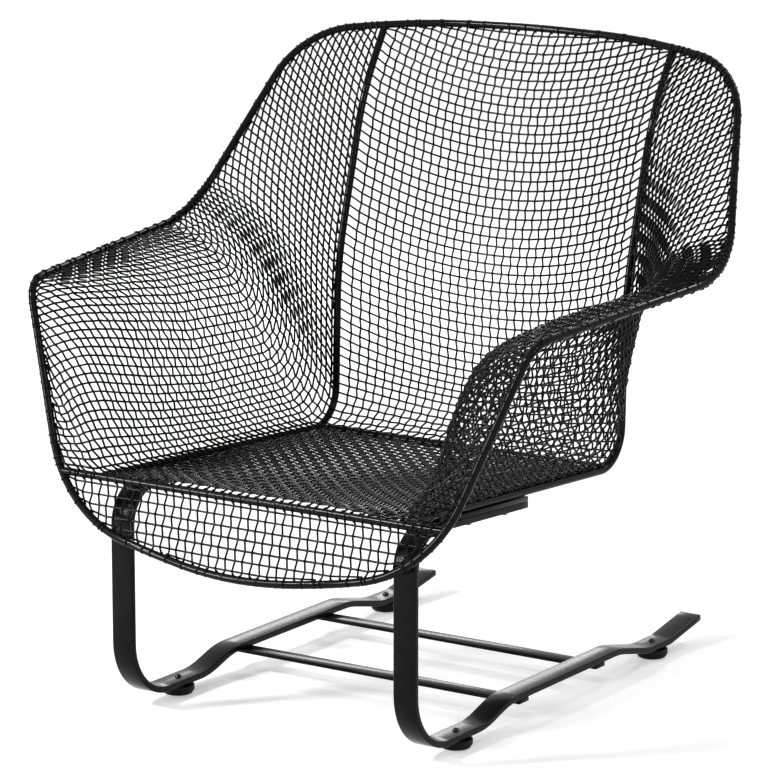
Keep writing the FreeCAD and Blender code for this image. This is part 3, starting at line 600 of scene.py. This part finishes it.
class RodFinder:
    """Finds the rod that a wire ends on."""

    def __init__(self, shape: SeatShape, step: float = 3.0) -> None:
        """Samples the axes of all rods of the seat."""
        self.spots: list[RodSpot] = []
        for path, low, high, inner in ((shape.rim, shape.rim_start, shape.rim_end, False),
                                       (shape.side, 0.0, shape.side.length, True)):
            for i in range(int((high - low) / step) + 1):
                place, heading = path.at(low + i * step)
                for spot, along in ((place, heading), (other_side(place), other_side(heading))):
                    self.spots.append(RodSpot(spot, along, shape.sitter - spot if inner else None))
        over_front = shape.sitter - shape.heel
        over_rear = shape.sitter - shape.rear_end
        for end, cover in ((shape.front_end, over_front), (shape.rear_end, over_rear)):
            for i in range(int(2 * end.x / step) + 1):
                place = Vector((i * step - end.x, end.y, end.z))
                self.spots.append(RodSpot(place, OUT.copy(), Vector((0.0, cover.y, cover.z))))
        self.tree = KDTree(len(self.spots))
        for index, spot in enumerate(self.spots):
            self.tree.insert(spot.place, index)
        self.tree.balance()

    def nearest(self, point: Vector) -> RodSpot:
        """The rod's axis nearest to a point.

        Args:
            point: The point.

        Returns:
            The place on the axis.
        """
        spot = self.spots[self.tree.find(point)[1]]
        along = (point - spot.place).dot(spot.heading)
        return RodSpot(spot.place + spot.heading * along, spot.heading, spot.cover)


@dataclass
class Weaver:
    """Turns crossing places into crimped wires whose ends are laid on the rods."""

    finder: RodFinder
    rod_radius: float
    wire_radius: float = 1.35
    fineness: int = 1
    warp_crimp: float = 1.85
    weft_crimp: float = 0.85
    rod_gap: float = 0.7
    rim_turn: float = 85.0
    rim_sink: float = 1.15
    rod_turn: float = 20.0
    rod_sink: float = 1.5
    turn_from: float = -75.0
    turn_steps: int = 4

    def held(self, point: Vector) -> Vector:
        """A wire's point, moved so far that the wire stays inside the solids' box."""
        low, high = (Vector(corner) / METRE for corner in SOLID_BOX)
        room = self.wire_radius
        return Vector([min(max(p, a + room), b - room) for p, a, b in zip(point, low, high)])

    def laid(self, end: Vector, inner: Vector, normal: Vector, sign: int) -> Line:
        """The end of a wire on a rod: over or under the rim in turn, on the mesh's side of the other rods.

        Args:
            end: The place where the wire meets the rod's axis.
            inner: The wire's last crossing before it.
            normal: The mesh's normal there.
            sign: 1 if the wire goes over the rim, -1 if under it.

        Returns:
            Points round the rod, from the mesh onwards, sinking into its paint.
        """
        spot = self.finder.nearest(end)
        ahead = spot.place - inner
        ahead = (ahead - spot.heading * ahead.dot(spot.heading)).normalized()
        lift = spot.heading.cross(ahead)
        wanted = spot.cover or normal * sign
        if lift.dot(wanted) < 0:
            lift.negate()
        turn, sink = (self.rod_turn, self.rod_sink) if spot.cover else (self.rim_turn, self.rim_sink)
        points = []
        for i in range(self.turn_steps + 1):
            share = i / self.turn_steps
            reach = self.rod_radius + self.wire_radius * (self.rod_gap - sink * share * share)
            angle = math.radians(self.turn_from + (turn - self.turn_from) * share)
            points.append(spot.place + (lift * math.cos(angle) + ahead * math.sin(angle)) * reach)
        return points

    def wire(self, places: Line, normals: Line, ends: Line, strand: Strand, start_way: int) -> Line:
        """One wire through its crossings.

        Args:
            places: The crossings, on the mesh's surface.
            normals: The mesh's normals there.
            ends: Where the wire meets the rods.
            strand: The wire's direction.
            start_way: 1 or -1 for the side of the surface it takes at the first crossing.

        Returns:
            The wire's points.
        """
        crimp = self.warp_crimp if strand is Strand.WARP else self.weft_crimp
        clear = self.rod_radius + 2 * self.wire_radius
        kept = []
        for index, (place, normal) in enumerate(zip(places, normals)):
            if (self.finder.nearest(place).place - place).length > clear:
                way = start_way if index % 2 == 0 else -start_way
                kept.append((place + normal * (crimp * way), normal, way))
        if not kept:
            return []
        first, last = kept[0], kept[-1]
        start = self.laid(ends[0], first[0], first[1], -first[2])
        finish = self.laid(ends[1], last[0], last[1], -last[2])
        return [self.held(p) for p in list(reversed(start)) + [k[0] for k in kept] + finish]


class WovenPanel:
    """A panel of woven wire between rods."""

    name = "panel"
    nodes: dict[Strand, str] = {}
    step = 1.0

    def __init__(self, shape: SeatShape, weaver: Weaver, pitch: float) -> None:
        """Lays out the wires a pitch apart."""
        self.shape = shape
        self.weaver = weaver
        self.pitch = pitch

    def point(self, a: float, b: float) -> Vector:
        """The surface at a place across the warp and along it."""
        raise NotImplementedError

    def warps(self) -> list[Run]:
        """The warp wires: the place of each, and where it starts and ends."""
        raise NotImplementedError

    def wefts(self) -> list[Run]:
        """The weft wires: the place of each, and where it starts and ends."""
        raise NotImplementedError

    def normal(self, a: float, b: float) -> Vector:
        """The surface's unit normal."""
        across = self.point(a + self.step, b) - self.point(a - self.step, b)
        along = self.point(a, b + self.step) - self.point(a, b - self.step)
        return across.cross(along).normalized()

    def lines(self, strand: Strand) -> list[Line]:
        """The wires of one direction.

        Args:
            strand: The direction.

        Returns:
            The points of each wire.
        """
        warps, wefts = self.warps(), self.wefts()
        warp = strand is Strand.WARP
        mine, others = (warps, wefts) if warp else (wefts, warps)
        lines = []
        for i, (place, low, high) in enumerate(mine):
            crossed = [(j, other) for j, (other, near, far) in enumerate(others)
                       if low < other < high and near < place < far]
            if not crossed:
                continue
            spots = [(place, other) if warp else (other, place) for _, other in crossed]
            ends = [(place, end) if warp else (end, place) for end in (low, high)]
            sign = strand.value * (1 if (i + crossed[0][0]) % 2 == 0 else -1)
            line = self.weaver.wire([self.point(*s) for s in spots], [self.normal(*s) for s in spots],
                                    [self.point(*e) for e in ends], strand, sign)
            if len(line) > 1:
                lines.append(line)
        return lines


class BackPanel(WovenPanel):
    """The back between the side rods, whose rows hang in the middle."""

    name = "woven_back"
    nodes = {Strand.WARP: "back_mesh_columns", Strand.WEFT: "back_mesh_rows"}

    def point(self, a: float, b: float) -> Vector:
        """The surface at a place across and a row."""
        return self.shape.back_point(a / self.shape.side_x, b)

    def warps(self) -> list[Run]:
        """The columns."""
        x = self.shape.side_x
        return [(c, self.shape.column_top(c / x), self.shape.rear_at) for c in spaced(-x, x, self.pitch)]

    def wefts(self) -> list[Run]:
        """The rows."""
        x = self.shape.side_x
        rows = spaced(self.shape.column_top(0.0), self.shape.rear_at, self.pitch)
        return [(v, -x * self.shape.row_reach(v), x * self.shape.row_reach(v)) for v in rows]


class SeatPanel(WovenPanel):
    """The seat between the side rods and the cross rods."""

    name = "woven_seat"
    nodes = {Strand.WARP: "seat_mesh_columns", Strand.WEFT: "seat_mesh_rows"}

    def point(self, a: float, b: float) -> Vector:
        """The surface at a place across and a distance forward of the rear rod."""
        return self.shape.seat_point(a / self.shape.side_x, b / self.length)

    @property
    def length(self) -> float:
        """The distance between the cross rods."""
        return self.shape.rear_end.y - self.shape.front_end.y

    def warps(self) -> list[Run]:
        """The columns."""
        x = self.shape.side_x
        return [(c, 0.0, self.length) for c in spaced(-x, x, self.pitch)]

    def wefts(self) -> list[Run]:
        """The rows."""
        x = self.shape.side_x
        return [(d, -x, x) for d in spaced(0.0, self.length, self.pitch)]


class LipPanel(WovenPanel):
    """The lip between the front cross rod and the rim below it."""

    name = "woven_lip"
    nodes = {Strand.WARP: "lip_mesh_columns", Strand.WEFT: "lip_mesh_rows"}
    step = 0.5

    def point(self, a: float, b: float) -> Vector:
        """The surface at a place across and a fall below the cross rod."""
        return self.shape.lip_point(a, b)

    def warps(self) -> list[Run]:
        """The columns."""
        reach = self.shape.front_end.x
        top = self.shape.front_end.z
        return [(x, 0.0, top - self.shape.lip_foot(x).z) for x in spaced(-reach, reach, self.pitch)]

    def wefts(self) -> list[Run]:
        """The rows."""
        shape = self.shape
        drop = shape.front_end.z - shape.lip_foot(0.0).z
        rows = []
        for fall in spaced(0.0, drop, self.pitch):
            height = shape.front_end.z - fall
            end = shape.rim.point(shape.rim.find(lambda p: p.z, height, shape.rim_front, shape.rim_end)).x
            rows.append((fall, -end, end))
        return rows


class SidePanel(WovenPanel):
    """One side: ribs from the side rod to the rim, and rails that follow the side rod."""

    samples = 400
    least_samples = 3

    def __init__(self, shape: SeatShape, weaver: Weaver, pitch: float, side: Side) -> None:
        """Lays out the wires of one side."""
        super().__init__(shape, weaver, pitch)
        self.side = side
        self.span = shape.side.length
        word = side.name.lower()
        self.name = "woven_side_" + word
        self.nodes = {Strand.WARP: "side_mesh_%s_ribs" % word, Strand.WEFT: "side_mesh_%s_rails" % word}
        first = shape.side_first_share * self.span
        last = self.span + (shape.foot_length - self.span) * shape.side_last_share
        self.fine = [first + (last - first) * i / self.samples for i in range(self.samples + 1)]
        self.widths = [shape.rib_length(a / self.span) for a in self.fine]

    def point(self, a: float, b: float) -> Vector:
        """The right side at a distance along the side rod and a distance from it."""
        return self.shape.side_point(a / self.span, b)

    def warps(self) -> list[Run]:
        """The ribs, each from the end of a row of the back as far as those go."""
        row = spaced(self.shape.column_top(0.0), self.shape.rear_at, self.pitch)[0]
        first = row + math.ceil((self.fine[0] - row) / self.pitch) * self.pitch
        count = int((self.fine[-1] - first) / self.pitch) + 1
        places = [first + i * self.pitch for i in range(count)]
        return [(a, 0.0, self.shape.rib_length(a / self.span)) for a in places]

    def wefts(self) -> list[Run]:
        """The rails, each in as many runs as the rim leaves of it."""
        rails = []
        for i in range(1, int(max(self.widths) / self.pitch) + 1):
            runs: list[list[float]] = [[]]
            for a, width in zip(self.fine, self.widths):
                if width > i * self.pitch:
                    runs[-1].append(a)
                elif runs[-1]:
                    runs.append([])
            rails += [(i * self.pitch, run[0], run[-1]) for run in runs
                      if len(run) >= self.least_samples]
        return rails

    def lines(self, strand: Strand) -> list[Line]:
        """The wires of one direction, on this panel's side of the chair."""
        lines = super().lines(strand)
        if self.side is Side.LEFT:
            return [[other_side(p) for p in line] for line in lines]
        return lines


# Making pieces

def linked(name: str, data: ID) -> Object:
    """Adds an object to the scene."""
    made = bpy.data.objects.new(name, data)
    bpy.context.scene.collection.objects.link(made)
    return made


def dressed(piece: Object, finish: Material) -> None:
    """Gives a piece its one material."""
    piece.data.materials.clear()
    piece.data.materials.append(finish)


def fitted(piece: Object, finish: Material, body: str, node: str) -> Object:
    """Dresses a rigid piece and fits it into the frame.

    Args:
        piece: The new piece.
        finish: Its material.
        body: The body that it rides on.
        node: The solid that it stands for.

    Returns:
        The same piece.
    """
    dressed(piece, finish)
    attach(piece, body)
    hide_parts(node)
    return piece


def wire_piece(name: str, lines: list[Line], radius: float, fineness: int) -> Object:
    """Makes one piece of round wires.

    Args:
        name: The piece's name.
        lines: The points of each wire, in millimetres.
        radius: The wire's radius.
        fineness: How finely its round section is drawn.

    Returns:
        The mesh object.
    """
    curve = bpy.data.curves.new(name, "CURVE")
    curve.dimensions = "3D"
    curve.bevel_depth = radius * METRE
    curve.bevel_resolution = fineness
    curve.use_fill_caps = True
    for line in lines:
        spline = curve.splines.new("POLY")
        spline.points.add(len(line) - 1)
        for point, place in zip(spline.points, line):
            point.co = (*(place * METRE), 1.0)
    drawn = linked(name + "_line", curve)
    bpy.context.view_layer.update()
    mesh = bpy.data.meshes.new_from_object(drawn.evaluated_get(bpy.context.evaluated_depsgraph_get()))
    bpy.data.objects.remove(drawn)
    bpy.data.curves.remove(curve)
    mesh.name = name
    mesh.shade_smooth()
    return linked(name, mesh)


def closed(shape: BMesh, near: float) -> None:
    """Merges the doubles of a bmesh and turns its faces outwards."""
    bmesh.ops.remove_doubles(shape, verts=shape.verts, dist=near)
    bmesh.ops.recalc_face_normals(shape, faces=shape.faces)


def of_kind(elements: Sequence[Any], kind: type) -> list[Any]:
    """Those elements of a bmesh that are of one kind."""
    return [e for e in elements if isinstance(e, kind)]


def shaped_piece(name: str, shape: BMesh, smooth_degrees: float = 35.0) -> Object:
    """Makes a piece of a finished bmesh in millimetres.

    Args:
        name: The piece's name.
        shape: The bmesh, which is freed.
        smooth_degrees: Edges bent by less than this are shaded smooth.

    Returns:
        The mesh object.
    """
    closed(shape, MERGE)
    bmesh.ops.scale(shape, vec=(METRE, METRE, METRE), verts=shape.verts)
    mesh = bpy.data.meshes.new(name)
    shape.to_mesh(mesh)
    shape.free()
    mesh.shade_smooth()
    mesh.set_sharp_from_angle(angle=math.radians(smooth_degrees))
    return linked(name, mesh)


def softened(shape: BMesh, offset: float, segments: int = 2, sharper: float = 50.0) -> None:
    """Rounds the sharp edges of a bmesh.

    Args:
        shape: The bmesh.
        offset: The width of the rounding.
        segments: Its steps.
        sharper: The least angle of an edge that is rounded, in degrees.
    """
    limit = math.radians(sharper)
    sharp = [e for e in shape.edges if len(e.link_faces) == 2 and e.calc_face_angle(0.0) > limit]
    bmesh.ops.bevel(shape, geom=sharp, offset=offset, offset_type="OFFSET", affect="EDGES",
                    segments=segments, profile=0.5, material=-1, clamp_overlap=True)


@dataclass
class WovenSeat:
    """All the woven wire of the bucket seat."""

    shape: SeatShape
    finish: Material
    pitch: float = 12.1

    def build(self) -> None:
        """Weaves each panel in both directions."""
        weaver = Weaver(RodFinder(self.shape), self.shape.rod_radius)
        panels = [kind(self.shape, weaver, self.pitch) for kind in (BackPanel, SeatPanel, LipPanel)]
        panels += [SidePanel(self.shape, weaver, self.pitch, side) for side in Side]
        for panel in panels:
            for strand in Strand:
                lines = panel.lines(strand)
                name = panel.name + "_" + strand.name.lower()
                piece = wire_piece(name, lines, weaver.wire_radius, weaver.fineness)
                fitted(piece, self.finish, "seat", panel.nodes[strand])
                LOG.info("%s: %d wires, %d faces", piece.name, len(lines), len(piece.data.polygons))


@dataclass
class SpringBase:
    """The bent spring strips with their cross bars, seat rails and glides."""

    shape: SeatShape
    strip_finish: Material
    rod_finish: Material
    rubber: Material
    strip_x: float = 202.0
    width: float = 30.0
    thickness: float = 8.0
    rear_end_y: float = -62.0
    leg_y: float = -303.0
    top_radius: float = 45.0
    foot_radius: float = 72.0
    floor_profile: tuple[Triple, ...] = (
        (-152.0, 0.0, 110.0), (-98.0, 17.0, 110.0), (160.0, 17.0, 110.0), (236.0, 0.0, 110.0),
        (286.0, 0.0, 60.0))
    tail: tuple[float, float] = (363.0, 14.0)
    rail_thickness: float = 6.0
    rail_front_y: float = -236.0
    rail_edge: float = 0.9
    gap: float = 0.3
    bar_width: float = 22.0
    bar_thickness: float = 5.0
    bar_edge: float = 0.8
    bar_ys: tuple[float, float] = (-68.1, 110.8)
    bridge_rise: float = 17.0
    glide_height: float = 13.0
    glide_ys: tuple[float, float] = (-196.0, 264.0)
    glide_radius: float = 20.0
    glide_sole: float = 13.5
    glide_foot: tuple[float, float] = (17.4, 1.3)
    glide_rim_drop: float = 1.5
    glide_rim_width: float = 3.0
    glide_well: float = 4.0
    glide_boss: float = 9.5
    glide_edge: float = 0.5
    glide_edge_steps: int = 3
    glide_sharp: float = 40.0
    glide_steps: int = 56
    edge: float = 1.2
    edge_steps: int = 3
    end_edge_steps: int = 2
    step: float = 14.0
    bend_steps: int = 4
    bend_degrees: float = 5.0
    bend_from: float = 42.0
    bend_to: float = 255.0

    @property
    def floor_z(self) -> float:
        """The height of the strip's middle where it lies on the glides."""
        return self.glide_height + self.thickness / 2

    def path(self) -> BentPath:
        """The strip's middle line, in the plane X = 0.

        Returns:
            The path from its end under the seat to its tail.
        """
        drop = self.shape.rod_radius + self.gap + self.rail_thickness + self.gap + self.thickness / 2
        corners = [self.shape.under_rod(self.rear_end_y, drop), self.shape.under_rod(self.leg_y, drop),
                   Vector((0.0, self.leg_y, self.floor_z))]
        corners += [Vector((0.0, y, self.floor_z + rise)) for y, rise, _ in self.floor_profile]
        corners.append(Vector((0.0, self.tail[0], self.floor_z + self.tail[1])))
        radii = [self.top_radius, self.foot_radius] + [radius for _, _, radius in self.floor_profile]
        return BentPath(corners, radii)

    def strip(self, side: Side) -> Object:
        """Bends one strip from a flat bar.

        Args:
            side: Its side of the chair.

        Returns:
            The strip.
        """
        path = self.path()
        shape = bmesh.new()
        place, heading = path.at(0.0)
        square = OUT.cross(heading) * (self.thickness / 2)
        middle = place + OUT * (side.value * self.strip_x)
        wide = OUT * (self.width / 2)
        corners = (wide + square, wide - square, -wide - square, -wide + square)
        ring = [shape.verts.new(middle + corner) for corner in corners]
        shape.faces.new(ring)
        bmesh.ops.bevel(shape, geom=ring, offset=self.edge, offset_type="OFFSET", affect="VERTICES",
                        segments=self.edge_steps, profile=0.5, material=-1)
        cap = list(shape.faces)
        for stretch in path.stretches:
            if stretch.centre is None:
                steps = max(1, round(stretch.length / self.step))
                for _ in range(steps):
                    made = bmesh.ops.extrude_face_region(shape, geom=cap)["geom"]
                    fresh = of_kind(made, BMVert)
                    bmesh.ops.translate(shape, vec=stretch.heading * (stretch.length / steps), verts=fresh)
                    cap = of_kind(made, BMFace)
            else:
                turn = stretch.length / (stretch.start - stretch.centre).length
                steps = max(self.bend_steps, math.ceil(math.degrees(turn) / self.bend_degrees))
                made = bmesh.ops.spin(shape, geom=cap, cent=stretch.centre, axis=stretch.axis,
                                      angle=turn, steps=steps)["geom_last"]
                cap = of_kind(made, BMFace)
        ends = [f for f in shape.faces if len(f.verts) > 4]
        bmesh.ops.bevel(shape, geom=list({e for f in ends for e in f.edges}), offset=self.edge / 2,
                        offset_type="OFFSET", affect="EDGES", segments=self.end_edge_steps,
                        profile=0.5, material=-1)
        piece = shaped_piece("bent_strip_" + side.name.lower(), shape)
        dressed(piece, self.strip_finish)
        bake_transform(piece)
        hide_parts("spring_strip_" + side.name.lower())
        return piece

    @staticmethod
    def flat(size: Triple, middle: Vector, edge: float, tilt: float = 0.0) -> BMesh:
        """A flat bar with rounded edges.

        Args:
            size: Its width, length and thickness.
            middle: Its middle.
            edge: The width of the rounding.
            tilt: Its turn about the X axis.

        Returns:
            The bmesh.
        """
        shape = bmesh.new()
        place = Matrix.Translation(middle) @ Matrix.Rotation(tilt, 4, "X") @ Matrix.Diagonal((*size, 1.0))
        bmesh.ops.create_cube(shape, size=1.0, matrix=place)
        softened(shape, edge)
        return shape

    def bar(self, node: str, y: float) -> Object:
        """Makes one flat cross bar under the strips.

        Args:
            node: The solid that it stands for.
            y: Its middle.

        Returns:
            The bar.
        """
        reach = 2 * self.strip_x + self.width
        height = self.glide_height + self.bridge_rise - self.bar_thickness / 2
        size = (reach, self.bar_width, self.bar_thickness)
        shape = self.flat(size, Vector((0.0, y, height)), self.bar_edge)
        return fitted(shaped_piece("flat_" + node, shape), self.strip_finish, "base", node)

    def rail(self, side: Side) -> Object:
        """Makes one flat rail under a side rod.

        Args:
            side: Its side of the chair.

        Returns:
            The rail.
        """
        drop = self.shape.rod_radius + self.gap + self.rail_thickness / 2
        rear = self.shape.under_rod(self.rear_end_y, drop)
        front = self.shape.under_rod(self.rail_front_y, drop)
        run = rear - front
        middle = (rear + front) / 2 + OUT * (side.value * self.strip_x)
        size = (self.width, run.length, self.rail_thickness)
        shape = self.flat(size, middle, self.rail_edge, math.atan2(run.z, run.y))
        word = side.name.lower()
        piece = shaped_piece("flat_rail_" + word, shape)
        return fitted(piece, self.rod_finish, "seat", "seat_rail_" + word)

    def glide(self, side: Side, end: str, y: float) -> Object:
        """Turns one round glide.

        Args:
            side: Its side of the chair.
            end: "front" or "rear".
            y: Its middle.

        Returns:
            The glide.
        """
        radius, height = self.glide_radius, self.glide_height
        rim = height - self.glide_rim_drop
        well = rim - self.glide_well
        inside = radius - self.glide_rim_width
        profile = ((0.0, 0.0), (self.glide_sole, 0.0), self.glide_foot, (radius, rim / 2), (radius, rim),
                   (inside, rim), (inside, well), (self.glide_boss, well), (self.glide_boss, height),
                   (0.0, height))
        shape = bmesh.new()
        centre = Vector((side.value * self.strip_x, y, 0.0))
        points = [shape.verts.new(centre + Vector((r, 0.0, z))) for r, z in profile]
        edges = [shape.edges.new(pair) for pair in zip(points, points[1:])]
        bmesh.ops.spin(shape, geom=points + edges, cent=centre, axis=UP, angle=2 * math.pi,
                       steps=self.glide_steps, use_merge=True)
        closed(shape, MERGE_TURNED)
        softened(shape, self.glide_edge, self.glide_edge_steps, self.glide_sharp)
        node = "glide_%s_%s" % (end, side.name.lower())
        return fitted(shaped_piece("round_" + node, shape), self.rubber, "base", node)

    def build(self) -> None:
        """Makes every piece of the base and the rails above it."""
        made = []
        for side in Side:
            made += [self.strip(side), self.rail(side)]
            made += [self.glide(side, end, y) for end, y in zip(("front", "rear"), self.glide_ys)]
        for node, y in zip(("front_cross_bar", "rear_cross_bar"), self.bar_ys):
            made.append(self.bar(node, y))
        for piece in made:
            LOG.info("%s: %d faces", piece.name, len(piece.data.polygons))


@dataclass
class CarriedSolids:
    """The solids that show as they are, in better finishes."""

    rod_finish: Material
    fixing_finish: Material
    rods: tuple[str, ...] = ("rim_top", "rim_left", "rim_right", "rim_front", "side_rod_left",
                             "side_rod_right", "front_cross_rod", "rear_cross_rod")
    fixings: tuple[str, ...] = ("glide_rivets", "rail_studs", "rail_nuts")

    def dress(self) -> None:
        """Paints the rods and the fixings."""
        for names, finish in ((self.rods, self.rod_finish), (self.fixings, self.fixing_finish)):
            for name in names:
                dressed(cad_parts[name], finish)
                LOG.info("%s: painted", name)


# Studio

@dataclass
class Lamp:
    """A soft rectangular lamp that looks at the chair."""

    name: str
    place: Triple
    size: tuple[float, float]
    power: float
    aim: Triple = (0.0, 0.0, 0.35)

    def build(self) -> None:
        """Hangs the lamp."""
        light = bpy.data.lights.new(self.name, "AREA")
        light.shape = "RECTANGLE"
        light.size, light.size_y = self.size
        light.energy = self.power
        lamp = linked(self.name, light)
        lamp.location = self.place
        lamp.rotation_euler = (Vector(self.aim) - Vector(self.place)).to_track_quat("-Z", "Y").to_euler()


@dataclass
class Studio:
    """The pale floor, the soft light and the camera."""

    azimuth: float = 33.612
    elevation: float = 12.157
    distance: float = 4791.17
    offset: tuple[float, float] = (26.406, 0.806)
    target: Triple = (0.0, -92.0, 392.0)
    focal_pixels: float = 3993.42
    frame_pixels: float = 768.0
    sensor: float = 36.0
    clip_end: float = 50.0
    background: float = 1.0
    ambient: float = 0.4
    floor_size: float = 12000.0
    floor_colour: Triple = (0.86, 0.86, 0.86)
    floor_lift: float = 0.34
    far_lift: float = 0.68
    lift_from: float = 0.9
    lift_to: float = 2.6
    lamps: tuple[Lamp, ...] = (
        Lamp("key_lamp", (-1.7, -2.3, 2.5), (0.45, 0.35), 80.0),
        Lamp("front_lamp", (-1.9, -2.6, 1.2), (0.4, 0.8), 60.0),
        Lamp("side_lamp", (2.6, -0.6, 1.6), (0.3, 1.2), 20.0),
        Lamp("low_lamp", (-1.75, 2.6, 0.8), (0.9, 0.3), 6.0, (0.0, 0.0, 0.05)),
        Lamp("back_lamp", (0.4, 2.6, 2.6), (1.6, 0.4), 26.0))

    def camera(self) -> None:
        """Sets up the camera at the photograph's angle."""
        turn, lift = math.radians(self.azimuth), math.radians(self.elevation)
        right = Vector((math.cos(turn), math.sin(turn), 0.0))
        back = Vector((math.sin(turn) * math.cos(lift), -math.cos(turn) * math.cos(lift), math.sin(lift)))
        up = back.cross(right)
        place = Vector(self.target) + right * self.offset[0] + up * self.offset[1] + back * self.distance
        lens = bpy.data.cameras.new("studio_camera")
        lens.sensor_width = self.sensor
        lens.lens = self.focal_pixels / self.frame_pixels * self.sensor
        lens.clip_end = self.clip_end
        camera = linked("studio_camera", lens)
        turned = Matrix((right, up, back)).transposed().to_4x4()
        camera.matrix_world = Matrix.Translation(place * METRE) @ turned
        bpy.context.scene.camera = camera

    @staticmethod
    def seen(graph: Graph) -> Value:
        """1 for rays that show the surroundings: from the camera, reflected and refracted.

        Args:
            graph: The graph of the world or the floor.

        Returns:
            The value.
        """
        ray = graph.node("ShaderNodeLightPath")
        camera, glossy = graph.value(ray, "Is Camera Ray"), graph.value(ray, "Is Glossy Ray")
        return camera.most(glossy).most(graph.value(ray, "Is Transmission Ray"))

    def world(self) -> None:
        """Sets up the white surroundings."""
        world = bpy.data.worlds.new("studio_world")
        world.use_nodes = True
        bpy.context.scene.world = world
        graph = Graph(world.node_tree)
        seen = self.seen(graph)
        strength = seen * self.background + (1 - seen) * self.ambient
        sky = graph.node("ShaderNodeBackground", {"Color": (1.0, 1.0, 1.0, 1.0), "Strength": strength})
        graph.node("ShaderNodeOutputWorld", {"Surface": sky.outputs["Background"]})

    def floor(self) -> None:
        """Lays the pale floor."""
        shape = bmesh.new()
        bmesh.ops.create_grid(shape, x_segments=1, y_segments=1, size=self.floor_size)
        floor = shaped_piece("studio_floor", shape)
        made = bpy.data.materials.new("pale_floor")
        made.use_nodes = True
        graph = Graph(made.node_tree)
        place = graph.node("ShaderNodeTexCoord").outputs["Object"]
        away = graph.node("ShaderNodeVectorMath", {0: place}, operation="LENGTH")
        lift = graph.node("ShaderNodeMapRange", {
            "Value": away.outputs["Value"], "From Min": self.lift_from, "From Max": self.lift_to,
            "To Min": self.floor_lift, "To Max": self.far_lift}, interpolation_type="SMOOTHSTEP")
        matt = graph.node("ShaderNodeBsdfDiffuse", {"Color": (*self.floor_colour, 1.0)})
        glow = graph.node("ShaderNodeEmission", {"Strength": self.seen(graph) * graph.value(lift)})
        both = graph.node("ShaderNodeAddShader", {0: matt.outputs[0], 1: glow.outputs[0]})
        graph.node("ShaderNodeOutputMaterial", {"Surface": both.outputs[0]})
        dressed(floor, made)

    def build(self) -> None:
        """Sets up everything round the chair."""
        self.camera()
        self.world()
        self.floor()
        for lamp in self.lamps:
            lamp.build()
        bpy.context.scene.view_settings.view_transform = "Standard"
        LOG.info("studio ready")


def main() -> None:
    """Builds the chair's looks and the studio round it."""
    logging.basicConfig(level=logging.INFO, format="%(name)s: %(message)s")
    shape = SeatShape()
    rod_finish = ROD_PAINT.material()
    CarriedSolids(rod_finish, FIXING_PAINT.material()).dress()
    WovenSeat(shape, WIRE_PAINT.material()).build()
    SpringBase(shape, STRIP_PAINT.material(), rod_finish, GLIDE_RUBBER.material()).build()
    Studio().build()


if __name__ == "__main__":
    main()
